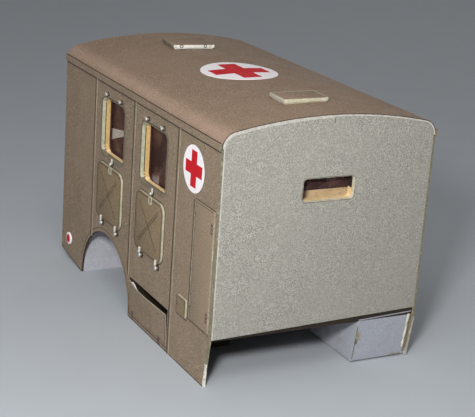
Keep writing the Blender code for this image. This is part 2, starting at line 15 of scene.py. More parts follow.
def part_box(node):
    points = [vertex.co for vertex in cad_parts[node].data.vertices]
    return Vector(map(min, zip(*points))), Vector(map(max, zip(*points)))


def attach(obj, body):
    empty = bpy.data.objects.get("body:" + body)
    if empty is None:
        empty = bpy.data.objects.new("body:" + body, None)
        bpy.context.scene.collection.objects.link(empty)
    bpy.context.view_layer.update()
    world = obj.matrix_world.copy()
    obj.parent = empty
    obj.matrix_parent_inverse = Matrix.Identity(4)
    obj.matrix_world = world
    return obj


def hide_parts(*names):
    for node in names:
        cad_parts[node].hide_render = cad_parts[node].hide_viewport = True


bl_info = {
    "name": "Card Ambulance Body",
    "version": (1, 0, 0),
    "blender": (4, 5, 0),
    "location": "View3D > Sidebar > Card Body",
    "description": "Dresses the frame of a card model ambulance body in printed card, board and wire",
    "category": "Object",
}

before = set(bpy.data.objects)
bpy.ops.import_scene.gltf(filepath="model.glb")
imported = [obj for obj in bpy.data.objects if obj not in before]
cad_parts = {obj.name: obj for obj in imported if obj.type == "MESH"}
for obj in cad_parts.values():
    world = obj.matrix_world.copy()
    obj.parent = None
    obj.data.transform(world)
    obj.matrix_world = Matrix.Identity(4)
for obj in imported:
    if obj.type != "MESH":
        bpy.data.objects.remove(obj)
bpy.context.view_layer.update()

MM = 0.001
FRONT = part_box("roof_skin")[0].y / MM
SIDES = {"right": -1, "left": 1}
PLACES = ("front", "rear")
BODY = "body"
FLAP = "flap"
ACROSS, ALONG, UP = range(3)


def ranges(node):
    """How far a node of the frame reaches across, back from the front wall's face, and up."""
    low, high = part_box(node)
    return ((low.x / MM, high.x / MM), (low.y / MM - FRONT, high.y / MM - FRONT), (low.z / MM, high.z / MM))


# Places taken from the frame
HALF = ranges("roof_skin")[ACROSS][1]
LENGTH = ranges("roof_skin")[ALONG][1]
EAVES, CROWN = ranges("roof_skin")[UP]
CORE_INNER = ranges("side_core_left")[ACROSS][0] - HALF
SKIN_TOP = ranges("side_core_left")[UP][1]
WALL_BOTTOM = ranges("front_wall")[UP][0]
COVER_LIFT = ranges("tall_locker_door_left")[ACROSS][1] - HALF

# Thickness of the outer card, and lifts of what is glued on it
CARD = 0.8
SUNK = -0.05
DOOR_LIFT = 0.6
SEAM_LIFT = 0.25
CORNICE_LIFT = 0.7

# Shape of the roof line
ROOF_RADIUS = 172.0
ROOF_CORNER = 5.5
ROOF_CENTRE = CROWN - ROOF_RADIUS
ROOF_LEAN = math.atan2(EAVES - ROOF_CENTRE, HALF - ROOF_CORNER)

# Shape of the side panels and the front wall
ARCH_CENTRE = 89.5
ARCH_RADIUS = 23.6
SKIRT_SLANT = 2.6
TAIL_RISE = 3.1
ARCH_START, ARCH_END = ARCH_CENTRE - ARCH_RADIUS, ARCH_CENTRE + ARCH_RADIUS
TAIL_CUT = (0, TAIL_RISE, ARCH_END - LENGTH)
FRONT_FOOT = WALL_BOTTOM + 1.8
FRONT_FOOT_RISE = 2.2
FILM_LAP = 2.0
WINDOW_RADIUS = 3.0
BULKHEAD_RADIUS = 1.6
DOOR_RADIUS = 2.0
LOCKER_RISE = (1.3, 15.5)
LOCKER_GAP = 0.6

# How far the flap's top leans out, from its front end to its rear one, and how far its front end droops
FLAP_LEAN = (0.5, 0.85, 1.2, 1.5, 1.55, 0.95, 0.38)
FLAP_DROOP = 0.8
# Slant, setback and narrowing of the box at the left front
BOX_SLANT = 2.2
BOX_SETBACK = 0.75
BOX_NARROWING = 2.2

# Half width and half length of a cross's arms, as shares of the sign's radius
CROSS_ARM = 0.258
CROSS_REACH = 0.775
# Printed hinges have three bars at these steps; the rear doors' hinges have these places
HINGE_STEPS = (-1.3, 0.0, 1.3)
REAR_HINGE_ASIDE = 28.6
REAR_HINGE_HEIGHTS = (24, 48, 72)
# Profile of a catch's pin: step out from its foot, and radius as a share of its ball's
PIN_PROFILE = ((0, 1.4), (0.3, 1.35), (0.36, 0.6), (0.6, 0.6), (0.7, 0.75), (0.85, 0.95), (1.08, 1.0),
               (1.3, 0.92), (1.5, 0.65), (1.6, 0.3))

# Lamps: name, place in metres, size in metres and power
LAMPS = (("flash", (-0.24, -0.34, 0.235), 0.05, 1.75), ("overhead", (-0.20, -0.33, 0.60), 0.30, 1.2),
         ("side_fill", (-0.55, -0.40, 0.26), 0.30, 0.6), ("back_fill", (0.65, 0.60, 0.55), 0.60, 0.4))
LAMP_TARGET = Vector((0, 0, 0.045))
SKY = (0.96, 0.98, 1.0, 1)
SKY_STRENGTH = 0.26
# The photograph's camera: its place in metres, and the ways that it looks and holds upright
CAMERA_SPOT = (-0.22076, -0.41489, 0.18772)
CAMERA_AHEAD = (0.45365, 0.83744, -0.30478)
CAMERA_UPRIGHT = (0.08155, 0.30155, 0.94996)
FLOOR_SIZE = 12

# Sharper edges than these are worn, are kept in smooth shading, and are kept on round wire parts
SOFT_ANGLE = math.radians(40)
SMOOTH_ANGLE = math.radians(35)
ROUND_ANGLE = math.radians(60)
# Sides of the circles of the signs on the roof and of the line round an arch
FINE_STEPS = 96


def colour(name, red, green, blue, description):
    """A colour setting, given as a screen colour from 0 to 255 and kept as a linear one."""
    linear = [((level / 255 + 0.055) / 1.055) ** 2.4 if level > 10 else level / 255 / 12.92
              for level in (red, green, blue)]
    return FloatVectorProperty(name=name, description=description, subtype="COLOR", size=3, min=0.0, max=1.0,
                               default=linear)


def length(name, default, description):
    """A length setting, given in millimetres and kept in metres."""
    return FloatProperty(name=name, description=description, default=default * MM, min=0.0, precision=5,
                         unit="LENGTH")


def setting(key):
    """A length setting's value, in millimetres."""
    return getattr(bpy.context.scene.card_body_sizes, key) / MM


class CardBodyColours(bpy.types.PropertyGroup):
    """Colours of the card, the print and the wire."""

    side: colour("Side print", 131, 114, 96, "Olive brown print of the sides")
    cover: colour("Cover print", 122, 105, 82, "Darker olive print of the blackout covers")
    roof: colour("Roof print", 134, 113, 95, "Olive brown print of the roof")
    # Rubbed roof: a painted highlight along the roof's rounded corners
    rubbed: colour("Rubbed roof", 178, 152, 136, "Lighter print along the roof's rounded corners")
    # The front print's pale grey is partly a painted sheen over a grey print of its own
    front: colour("Front print", 148, 145, 136, "Pale grey print of the front wall")
    edge: colour("Card edge", 172, 171, 148, "Green grey of a cut card edge")
    handled: colour("Handled edge", 136, 131, 113, "Cut edge rubbed down to a duller tone")
    torn: colour("Torn card", 216, 212, 202, "White core where the card is torn")
    dull: colour("Dull edge", 112, 108, 90, "Cut edge touched up with thin paint")
    inked: colour("Inked edge", 62, 50, 40, "Cut edge that was darkened with ink")
    ochre: colour("Ochre board", 198, 166, 110, "Board edge inside the windows")
    grey: colour("Grey board", 152, 154, 161, "Unprinted grey board")
    # The pale board of the wheel wells is a lit copy of the grey board, painted light
    well: colour("Pale board", 170, 170, 176, "Paler board of the wheel wells")
    tan: colour("Tan board", 226, 196, 148, "Bright board seen through the front window")
    cream: colour("Cream board", 182, 176, 152, "Cream edge of the hatches and the front window")
    ink: colour("Ink", 56, 43, 36, "Printed outlines")
    hinge_ink: colour("Hinge ink", 92, 68, 70, "Printed hinges")
    inside: colour("Inside", 98, 58, 52, "Dark reddish brown inside")
    white: colour("Sign white", 232, 226, 228, "White of the signs")
    red: colour("Sign red", 188, 22, 34, "Red of the signs")
    wire: colour("Wire", 205, 203, 196, "Bright metal of the catches")
    floor: colour("Floor", 168, 173, 178, "Pale floor under the model")


class CardBodySizes(bpy.types.PropertyGroup):
    """Sizes of the small things that the frame leaves out."""

    ink_rise: length("Ink rise", 0.03, "How far a printed line stands off the card")
    sticker: length("Sticker", 0.12, "Thickness of a glued paper sign")
    pin_radius: length("Pin radius", 0.80, "Radius of the ball on a catch")
    lens: FloatProperty(name="Lens", description="Focal length in millimetres", default=100.06)
    arch_steps: IntProperty(name="Arch steps", description="Sides of the circle that cuts a wheel arch",
                            default=128, min=16)


# Ranges and places

def around(middle, reach):
    """Range of a given reach about a middle."""
    return middle - reach, middle + reach


def grown(pair, amount):
    """A range made longer at both ends, or shorter where the amount is negative."""
    return pair[0] - amount, pair[1] + amount


def middle_of(pair):
    """Middle of a range."""
    return (pair[0] + pair[1]) / 2


def extent(node):
    """Span and rise of a node on a side."""
    return ranges(node)[ALONG:]


def round_place(first, second):
    """Middle of two ranges, and half the first one as a radius."""
    return middle_of(first), middle_of(second), (first[1] - first[0]) / 2


def window(place_name, side):
    """Span and rise of a side window, from the film that covers it."""
    span, rise = extent(f"window_film_{place_name}_{side}")
    return grown(span, -FILM_LAP), grown(rise, -FILM_LAP)


def cross_arms(radius):
    """Half sizes of the two bars of a cross on a sign."""
    arm, reach = CROSS_ARM * radius, CROSS_REACH * radius
    return (arm, reach), (reach, arm)


def outward(side, near, far):
    """Range across the body between two lifts on one side."""
    return sorted((SIDES[side] * (HALF + near), SIDES[side] * (HALF + far)))


def spot_at(across, distance, height):
    """World place of a point."""
    return Vector((across * MM, (FRONT + distance) * MM, height * MM))


# Tests for corners, edges and faces

def everything(item):
    """Test that every corner, edge or face passes."""
    return True


def facing(axis, way=0, limit=0.99):
    """Test for faces that look along an axis, one way or both."""
    if way:
        return lambda face: face.normal[axis] * way > limit
    return lambda face: abs(face.normal[axis]) > limit


def sideways(axis, limit):
    """Test for faces that look past an axis."""
    return lambda face: abs(face.normal[axis]) < limit


# Modelling helpers

def only(piece):
    """Leave edit mode, and select one piece or nothing."""
    if bpy.context.object and bpy.context.object.mode != "OBJECT":
        bpy.ops.object.mode_set(mode="OBJECT")
    bpy.ops.object.select_all(action="DESELECT")
    if piece:
        piece.select_set(True)
        bpy.context.view_layer.objects.active = piece
    return piece


def settle(piece):
    """Put a piece's place, turn and size into its mesh."""
    only(piece)
    bpy.ops.object.transform_apply(location=True, rotation=True, scale=True)
    return piece


def named(name):
    """Name the new primitive, and settle it."""
    piece = bpy.context.active_object
    piece.name = name
    piece.data.name = name
    return settle(piece)


def moved(piece, spot, turn):
    """Turn a piece that was made about the world's origin, and put it in its place."""
    piece.location = spot
    piece.rotation_euler = turn
    return settle(piece)


def choose(piece, kind, test):
    """Open a piece in edit mode with only the corners, edges or faces that pass a test selected."""
    only(piece)
    bpy.ops.object.mode_set(mode="EDIT")
    bpy.ops.mesh.select_mode(type=kind)
    bpy.ops.mesh.select_all(action="DESELECT")
    shape = bmesh.from_edit_mesh(piece.data)
    for item in {"VERT": shape.verts, "EDGE": shape.edges, "FACE": shape.faces}[kind]:
        if test(item):
            item.select_set(True)
    bmesh.update_edit_mesh(piece.data)


def push(piece, test, move):
    """Move the corners that pass a test, by a move in millimetres."""
    choose(piece, "VERT", lambda corner: test(corner.co))
    bpy.ops.transform.translate(value=[step * MM for step in move])
    return only(piece)


def squeeze(piece, test, shares, centre):
    """Bring the corners that pass a test nearer to a centre, by a share along each axis."""
    choose(piece, "VERT", lambda corner: test(corner.co))
    bpy.ops.transform.resize(value=shares, center_override=centre)
    return only(piece)


def extrude(move):
    """Extrude what is selected by a move in millimetres."""
    bpy.ops.mesh.extrude_region_move(TRANSFORM_OT_translate={"value": [step * MM for step in move]})


def subdivide(piece, cuts):
    """Cut every edge of a piece into equal lengths."""
    choose(piece, "EDGE", everything)
    bpy.ops.mesh.subdivide(number_cuts=cuts)
    return only(piece)


def close(piece):
    """Turn all faces outwards, and leave edit mode."""
    bpy.ops.mesh.select_all(action="SELECT")
    bpy.ops.mesh.normals_make_consistent(inside=False)
    return only(piece)


def block(name, across, along, up, start=FRONT):
    """Block between three ranges, the second of them counted from a start."""
    only(None)
    low, high = (Vector((x * MM, (start + y) * MM, z * MM)) for x, y, z in zip(across, along, up))
    bpy.ops.mesh.primitive_cube_add(size=1, location=(low + high) / 2, scale=high - low)
    return named(name)


def side_block(name, side, span, rise, near, far):
    """Block on one side, between two lifts."""
    return block(name, outward(side, near, far), span, rise)


def end_block(name, across, up, along, radius, segments=8):
    """Block on an end wall with round corners."""
    return round_corners(block(name, across, along, up), ALONG, radius, segments)


def disc(name, centre, radius, axis, reach, steps=64):
    """Round plate that fills a range along an axis."""
    only(None)
    turn = ((0, math.pi / 2, 0), (math.pi / 2, 0, 0), (0, 0, 0))[axis]
    middle = list(centre)
    middle[axis] = middle_of(reach)
    bpy.ops.mesh.primitive_cylinder_add(vertices=steps, radius=radius * MM, depth=(reach[1] - reach[0]) * MM,
                                        location=spot_at(*middle), rotation=turn)
    return named(name)


def side_disc(name, side, distance, height, radius, near, far, steps=64):
    """Round plate on one side, between two lifts."""
    return disc(name, (0, distance, height), radius, ACROSS, outward(side, near, far), steps)


def round_corners(piece, axis, radius, segments=8):
    """Round the edges that run along an axis."""
    def along(edge):
        way = edge.verts[1].co - edge.verts[0].co
        return abs(way[axis]) > 0.999 * way.length
    choose(piece, "EDGE", along)
    bpy.ops.mesh.bevel(offset=radius * MM, segments=segments, affect="EDGES")
    return only(piece)


def hollow(piece, axis, width):
    """Turn a plate into a frame: its two faces are inset and the way between them is opened."""
    choose(piece, "FACE", facing(axis))
    bpy.ops.mesh.inset(thickness=width * MM)
    bpy.ops.mesh.bridge_edge_loops()
    return only(piece)


def slice_off(piece, spot, normal):
    """Cut away what lies beyond a plane, and close the cut."""
    choose(piece, "FACE", everything)
    bpy.ops.mesh.bisect(plane_co=spot_at(*spot), plane_no=Vector(normal).normalized(), use_fill=True,
                        clear_outer=True, threshold=1e-6)
    return only(piece)


def modify(piece, kind, **settings):
    """Add a modifier with its settings, and apply it."""
    modifier = piece.modifiers.new(kind.lower(), kind)
    for key, value in settings.items():
        setattr(modifier, key, value)
    only(piece)
    bpy.ops.object.modifier_apply(modifier=modifier.name)
    return piece


def carve(piece, cutter, operation="DIFFERENCE"):
    """Cut, join or trim a piece with another, which is used up."""
    modify(piece, "BOOLEAN", operation=operation, solver="EXACT", object=cutter)
    bpy.data.objects.remove(cutter)
    return piece


def soften(piece, width, segments=2, slot=-1):
    """Round every sharp edge a little, with a material of its own if slot says so."""
    return modify(piece, "BEVEL", width=width * MM, segments=segments, limit_method="ANGLE",
                  angle_limit=SOFT_ANGLE, material=slot)


def roughen(piece, strength, size, cuts, axes=("NORMAL",)):
    """Break up a cut surface with small waves, or move a thin scrap's corners along two axes only."""
    subdivide(piece, cuts)
    for axis, basis in zip(axes, ("ORIGINAL_PERLIN", "IMPROVED_PERLIN")):
        waves = bpy.data.textures.new(f"{piece.name}_{axis}", "CLOUDS")
        waves.noise_scale = size * MM
        waves.noise_depth = 2
        if axis != "NORMAL":
            waves.noise_basis = basis
        modify(piece, "DISPLACE", texture=waves, texture_coords="GLOBAL", direction=axis,
               strength=strength * MM, mid_level=0.5)
    return piece


def paint(piece, slot, test):
    """Give the faces that pass a test one of the piece's materials."""
    for face in piece.data.polygons:
        if test(face):
            face.material_index = slot


def smooth(piece, angle=SMOOTH_ANGLE):
    """Shade a piece smooth except over its sharp edges."""
    only(piece)
    bpy.ops.object.shade_smooth_by_angle(angle=angle)
    return piece


def join(name, pieces):
    """Join several pieces into one."""
    only(pieces[0])
    for piece in pieces:
        piece.select_set(True)
    if len(pieces) > 1:
        bpy.ops.object.join()
    pieces[0].name = name
    pieces[0].data.name = name
    return pieces[0]


def copies(piece, moves):
    """The piece and a copy of it for each move, joined into one."""
    made = [piece]
    for move in moves:
        only(piece)
        bpy.ops.object.duplicate_move(OBJECT_OT_duplicate={"linked": False},
                                      TRANSFORM_OT_translate={"value": [step * MM for step in move]})
        made.append(settle(bpy.context.active_object))
    return join(piece.name, made)


def dress(piece, recipes, node=None, body=BODY):
    """Give a finished piece its materials, and fix it to its body of the frame."""
    for recipe in recipes.split():
        piece.data.materials.append(material(recipe))
    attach(piece, body)
    if node:
        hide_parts(node)
    return piece


# Card shapes

def roof_line(name, inset, front, foot):
    """Chain of edges along the roof line, from the left foot over to the right one."""
    only(None)
    bpy.ops.mesh.primitive_plane_add(size=MM, location=spot_at(HALF - inset, front, foot))
    piece = named(name)
    choose(piece, "VERT", everything)
    bpy.ops.mesh.merge(type="CENTER")
    if foot < EAVES:
        extrude((0, 0, EAVES - foot))
    for across, height, angle, steps in ((HALF - ROOF_CORNER, EAVES, ROOF_LEAN, 16),
                                         (0, ROOF_CENTRE, math.pi - 2 * ROOF_LEAN, 64),
                                         (ROOF_CORNER - HALF, EAVES, ROOF_LEAN, 16)):
        bpy.ops.mesh.spin(steps=steps, angle=angle, center=spot_at(across, front, height), axis=(0, 1, 0))
    if foot < EAVES:
        extrude((0, 0, foot - EAVES))
    return piece


def roof_sheet(name, rise, thickness, front, rear):
    """Curved card over the whole width, its outer side a given rise above the roof line."""
    piece = roof_line(name, -rise, front, EAVES)
    bpy.ops.mesh.select_all(action="SELECT")
    extrude((0, rear - front, 0))
    return modify(close(piece), "SOLIDIFY", thickness=thickness * MM, offset=-1)


def end_wall(name, front, rear):
    """End wall in the shape of the body's cross-section."""
    piece = roof_line(name, CARD, front, WALL_BOTTOM)
    bpy.ops.mesh.select_all(action="SELECT")
    bpy.ops.mesh.edge_face_add()
    extrude((0, rear - front, 0))
    return close(piece)


def turned(name, foot, way, profile, steps=16):
    """Small round part turned about an axis: each row of its profile is a step out and a radius."""
    only(None)
    reach, radius = profile[0]
    bpy.ops.mesh.primitive_circle_add(vertices=steps, radius=radius * MM, fill_type="NGON", location=foot,
                                      rotation=way.to_track_quat("Z", "Y").to_euler())
    piece = named(name)
    choose(piece, "FACE", everything)
    for step, wide in profile[1:]:
        extrude(way * (step - reach))
        bpy.ops.transform.resize(value=[wide / radius] * 3, center_override=foot + way * step * MM)
        reach, radius = step, wide
    return close(piece)


def card(name, side, node, lift, recipes, tests, worn, segments=2, corner=0.0, corner_segments=4):
    """Card in a node's place on one side, with worn edges; each test finds the faces of one more recipe."""
    piece = side_block(name, side, *extent(node), SUNK, lift)
    if corner:
        round_corners(piece, ACROSS, corner, corner_segments)
    soften(piece, worn, segments)
    dress(piece, recipes, node=node)
    for slot, test in enumerate(tests, 1):
        paint(piece, slot, test)
    return piece


def level(start, end, height, width, lift=0.0):
    """Row of strokes() for a level line."""
    return start, height, end, height, width, lift


def upright(distance, foot, head, width, lift=0.0):
    """Row of strokes() for an upright line."""
    return distance, foot, distance, head, width, lift


def strokes(name, side, rows, recipe="print_ink", body=BODY):
    """Printed lines on one side. Each row: distance and height of both ends, width and lift."""
    rise = setting("ink_rise")
    only(None)
    piece = None
    for distance, height, end_distance, end_height, width, lift in rows:
        start, end = spot_at(0, distance, height), spot_at(0, end_distance, end_height)
        middle = (start + end) / 2
        middle.x = SIDES[side] * (HALF + lift + rise / 2) * MM
        run = end - start
        bpy.ops.mesh.primitive_cube_add(size=1, location=middle, rotation=(math.atan2(run.z, run.y), 0, 0),
                                        scale=(rise * MM, run.length, width * MM))
        if piece is None:
            piece = named(name)
            choose(piece, "FACE", lambda face: False)
    return dress(only(piece), recipe, body=body)


def outline(name, side, span, rise, radius, width, lift=0.0):
    """Printed line round a rectangle with round corners, its outer border at the rectangle."""
    piece = side_block(name, side, span, rise, lift, lift + setting("ink_rise"))
    if radius:
        round_corners(piece, ACROSS, radius)
    return dress(hollow(piece, ACROSS, width), "print_ink")

# Materials

PLAIN = (1, 1, 1)


def put(tree, kind, inputs=None, **settings):
    """Add a node, with its settings and with its inputs set or linked."""
    node = tree.nodes.new(kind)
    for key, value in settings.items():
        setattr(node, key, value)
    for key, value in (inputs or {}).items():
        if isinstance(value, bpy.types.NodeSocket):
            tree.links.new(value, node.inputs[key])
        else:
            node.inputs[key].default_value = value
    return node


def place(tree, stretch=(1, 1, 1), shift=(0, 0, 0)):
    """The surface's own place, stretched along the axes."""
    own = put(tree, "ShaderNodeTexCoord").outputs["Object"]
    return put(tree, "ShaderNodeMapping", {"Vector": own, "Scale": stretch, "Location": shift}).outputs[0]


def spread(tree, value, low=0.0, high=1.0, to_low=0.0, to_high=1.0):
    """A number moved from one range into another, and kept inside it."""
    return put(tree, "ShaderNodeMapRange", {"Value": value, "From Min": low, "From Max": high,
                                            "To Min": to_low, "To Max": to_high}).outputs[0]


def grain(tree, scale, low=0.35, high=0.65, detail=3.0, stretch=(1, 1, 1), shift=(0, 0, 0)):
    """Noise at one scale, spread over the whole range between two levels."""
    noise = put(tree, "ShaderNodeTexNoise", {"Vector": place(tree, stretch, shift), "Scale": scale,
                                             "Detail": detail, "Roughness": 0.6}).outputs[0]
    return spread(tree, noise, low, high)


def blend(tree, share, first, second):
    """Mix two colours."""
    node = put(tree, "ShaderNodeMix", {0: share}, data_type="RGBA")
    for index, value in ((6, first), (7, second)):
        if isinstance(value, bpy.types.NodeSocket):
            tree.links.new(value, node.inputs[index])
        else:
            node.inputs[index].default_value = (*value, 1)
    return node.outputs[2]


def sums(tree, operation, first, second=0.5):
    """One sum on two numbers."""
    return put(tree, "ShaderNodeMath", {0: first, 1: second}, operation=operation).outputs[0]


def times(tree, first, second):
    """Product of two numbers."""
    return sums(tree, "MULTIPLY", first, second)


def own_place(tree):
    """The surface's own place as three numbers."""
    return put(tree, "ShaderNodeSeparateXYZ", {0: place(tree)}).outputs


def distance_out(tree):
    """How far out from the body's middle plane the surface lies, in millimetres."""
    return times(tree, sums(tree, "ABSOLUTE", own_place(tree)[ACROSS]), 1 / MM)


def shade(base, amount):
    """A colour made darker or lighter by a share."""
    return tuple(min(1.0, level * amount) for level in base)


def tint(base, other, share):
    """A colour moved towards another by a share."""
    return tuple(a + (b - a) * share for a, b in zip(base, other))


def bare(name):
    """An empty material, with its nodes and its shader."""
    made = bpy.data.materials.new(name)
    made.use_nodes = True
    return made.node_tree, made.node_tree.nodes["Principled BSDF"]


def recolour(tree, shader, colour_now, share, other):
    """Mix another colour over the present one, and link it to the shader again."""
    mixed = blend(tree, share, colour_now, other)
    tree.links.new(mixed, shader.inputs["Base Color"])
    return mixed


def paper(tree, shader, base, roughness, speckle, speckle_scale, mottle, mottle_scale, tooth, cast=PLAIN,
          tooth_scale=1900):
    """Printed or plain card: fine speckle, slow mottling with a colour cast, and the paper's tooth."""
    fine = grain(tree, speckle_scale, 0.42, 0.58, 1.5, shift=(0.5 / speckle_scale,) * 3)
    slow = grain(tree, mottle_scale, 0.36, 0.64)
    wide = grain(tree, mottle_scale / 5, 0.38, 0.62, 2.0, shift=(0.3, 0.1, 0.2))
    look = blend(tree, fine, shade(base, 1 - speckle), shade(base, 1 + speckle))
    darker = tuple(level * turn for level, turn in zip(shade(base, 1 - 2 * mottle), cast))
    look = blend(tree, times(tree, slow, 0.5), look, darker)
    height = grain(tree, tooth_scale, 0.3, 0.7, 4.0, shift=(0.01, 0.02, 0.03))
    bump = put(tree, "ShaderNodeBump", {"Height": height, "Strength": tooth, "Distance": 0.05 * MM})
    tree.links.new(spread(tree, slow, to_low=roughness - 0.06, to_high=roughness + 0.06),
                   shader.inputs["Roughness"])
    tree.links.new(bump.outputs[0], shader.inputs["Normal"])
    shader.inputs["Specular IOR Level"].default_value = 0.3
    return recolour(tree, shader, look, times(tree, wide, 0.4), shade(base, 1 + 2 * mottle))


# Where a card material shines more or less than the others
FINISHES = {"roof_print": ("Specular IOR Level", 0.2), "sign_white": ("Specular IOR Level", 0.2),
            "sign_red": ("Specular IOR Level", 0.2), "dark_wire": ("Metallic", 0.5),
            "pale_metal": ("Metallic", 0.25)}


def tones(own):
    """Card materials: base colour, settings of paper() from its roughness on, and stains.

    Each stain has its colour, its strength and the settings of its grain. The stains are fibres, layer
    lines, scuffs, chips, flakes of print, spots that paint or ink has missed, and worn places.
    """
    olive = (0.62, 0.42, 2500, 0.07, 130, 0.25, (0.97, 1.0, 0.92))
    return {
        "side_print": (own.side, olive),
        "cover_print": (own.cover, olive),
        "roof_print": (own.roof, (0.6, 0.42, 2300, 0.05, 130, 0.25, (0.98, 1.0, 0.95))),
        "front_print": (own.front, (0.58, 0.5, 3300, 0.03, 130, 0.25, (0.98, 1.0, 0.98))),
        # Pale border: a pale card edge with a painted highlight
        "pale_border": (tint(own.front, own.torn, 0.35), (0.6, 0.2, 1150, 0.05, 300, 0.25)),
        "cream_edge": (own.cream, (0.85, 0.12, 1000, 0.08, 380, 0.7, (1.0, 0.97, 0.86)),
                       (shade(own.torn, 1.02), 0.6, 520, 0.50, 0.66, 2.0, (0.5, 0.5, 2.5))),
        "handled_card": (tint(own.handled, own.torn, 0.3), (0.9, 0.15, 1300, 0.2, 420, 0.6)),
        # Wheel well board: a paler, lit copy of the grey board
        "lit_well_card": (own.well, (0.8, 0.08, 1300, 0.04, 140, 0.45, PLAIN, 1600),
                      (shade(own.grey, 0.9), 0.4, 160, 0.54, 0.70)),
        "pale_metal": (tint(own.wire, own.torn, 0.6), (0.35, 0.05, 1150, 0.06, 600, 0.05),
                       (shade(own.wire, 0.45), 0.6, 700, 0.58, 0.70, 2.0)),
        "cut_edge": (own.edge, (0.8, 0.16, 900, 0.12, 500, 0.5, (1.0, 1.0, 0.9)),
                     (shade(own.edge, 0.62), 0.4, 900, 0.42, 0.66, 2.0, (4, 0.3, 0.3))),
        "torn_edge": (own.torn, (0.9, 0.1, 1500, 0.08, 420, 0.9, (0.98, 1.0, 0.93), 1500),
                      (own.edge, 0.7, 380, 0.56, 0.66, 3.0, PLAIN, (0.2, 0.4, 0.1))),
        "dull_edge": (own.dull, (0.75, 0.2, 1000, 0.15, 350, 0.4), (own.edge, 0.6, 500, 0.58, 0.72)),
        "inked_edge": (own.inked, (0.75, 0.3, 900, 0.15, 400, 0.5), (own.dull, 0.7, 450, 0.62, 0.74)),
        "rubbed_edge": (own.handled, (0.75, 0.2, 1000, 0.12, 300, 0.4),
                        (shade(own.edge, 0.95), 0.6, 260, 0.50, 0.68, 2.0),
                        (own.dull, 0.7, 240, 0.52, 0.70, 2.0, PLAIN, (0.1, 0.3, 0.5))),
        "ochre_layers": (own.ochre, (0.85, 0.12, 1300, 0.12, 300, 0.8, (1.0, 0.95, 0.82), 1400),
                         (tint(own.ochre, own.inked, 0.5), 0.35, 1000, 0.46, 0.66, 2.0, (3, 0.35, 0.35))),
        "core_board": (own.ochre, (0.85, 0.14, 1300, 0.1, 300, 0.6)),
        "tan_board": (own.tan, (0.8, 0.1, 1200, 0.06, 300, 0.5),
                      (shade(own.ochre, 0.8), 0.4, 500, 0.48, 0.68, 3.0, (0.3, 1.5, 1))),
        # Dark board is painted shade, for inner parts that lie in shade
        "dark_board": (shade(own.inked, 0.5), (0.85, 0.2, 1200, 0.1, 130, 0.3)),
        "inner_board": (own.inside, (0.7, 0.3, 900, 0.15, 120, 0.4, (1.1, 0.95, 0.9)),
                        (own.edge, 0.5, 800, 0.72, 0.76, 1.0)),
        "grey_card": (own.grey, (0.8, 0.08, 1500, 0.03, 160, 0.45, (0.98, 1.0, 1.02), 1600),
                      (tint(own.grey, own.side, 0.55), 0.5, 200, 0.56, 0.72, 2.0, PLAIN, (0.05, 0.02, 0.07))),
        "print_ink": (own.ink, (0.7, 0.3, 1500, 0.1, 500, 0.2), (shade(own.side, 0.7), 0.5, 500, 0.50, 0.70)),
        "hinge_ink": (own.hinge_ink, (0.7, 0.3, 1500, 0.2, 600, 0.2, (0.9, 0.9, 1.2)),
                      (own.side, 0.6, 900, 0.5, 0.66)),
        "sign_white": (own.white, (0.6, 0.04, 1150, 0.02, 130, 0.12)),
        "sign_red": (own.red, (0.6, 0.1, 1150, 0.04, 130, 0.12)),
        "dark_wire": (shade(own.wire, 0.22), (0.5, 0.3, 1150, 0.15, 600, 0.1)),
        # Tab card with painted shade over its upper part
        "half_shaded_card": (own.torn, (0.9, 0.1, 1500, 0.08, 420, 0.5)),
    }


def bend_highlights(tree, own):
    """The roof's print gets a painted highlight where it bends over the sides."""
    bend = spread(tree, distance_out(tree), 33.5, 38.5, to_high=0.32)
    patchy = spread(tree, grain(tree, 120, 0.3, 0.7), to_low=0.5)
    yield times(tree, bend, patchy), own.rubbed


def front_weave_and_shade(tree, own):
    """The front's print has a fine weave of upright and level threads, and a painted shade that darkens it
    towards its low corner on the body's left.
    """
    threads = [grain(tree, 1100, 0.35, 0.65, 1.0, stretch) for stretch in ((1.4, 1, 0.3), (0.3, 1, 1.4))]
    yield times(tree, times(tree, *threads), 0.5), shade(own.front, 0.80)
    # Painted shade: darker towards the low corner on the body's left
    across, _, height = own_place(tree)
    painted_falloff = spread(tree, sums(tree, "SUBTRACT", across, height), -0.09, 0.03, to_high=0.55)
    yield painted_falloff, shade(own.front, 0.74)


def shaded_inside(tree, own):
    """The walls' board is ochre at the window edges, and inside the body it takes a painted shade, a darker
    copy of the inside colour.
    """
    yield sums(tree, "LESS_THAN", distance_out(tree), HALF + CORE_INNER + 0.8), shade(own.inside, 0.4)


def shade_above(tree, own):
    """The pale card inside turns into painted shade above a height, along an edge broken into upright
    streaks.
    """
    height = times(tree, own_place(tree)[UP], 1 / MM)
    streaks = times(tree, grain(tree, 300, 0.3, 0.7, 2.0, (1.5, 1.5, 0.15)), 2.5)
    yield spread(tree, sums(tree, "ADD", height, streaks), 51.5, 56.0), shade(own.inside, 0.4)


# Painted light over the card: a highlight on the roof's bends, and shade on the front, inside the walls and
# over a tab; the front's weave is print
OVERLAYS = {"roof_print": bend_highlights, "front_print": front_weave_and_shade, "core_board": shaded_inside,
            "half_shaded_card": shade_above}


def card_material(name, own):
    """A card material from the tables."""
    tree, shader = bare(name)
    base, settings, *stains = tones(own)[name]
    now = paper(tree, shader, base, *settings)
    for stain, strength, *spots in stains:
        now = recolour(tree, shader, now, times(tree, grain(tree, *spots), strength), stain)
    if name in OVERLAYS:
        for share, other in OVERLAYS[name](tree, own):
            now = recolour(tree, shader, now, share, other)
    if name in FINISHES:
        key, value = FINISHES[name]
        shader.inputs[key].default_value = value


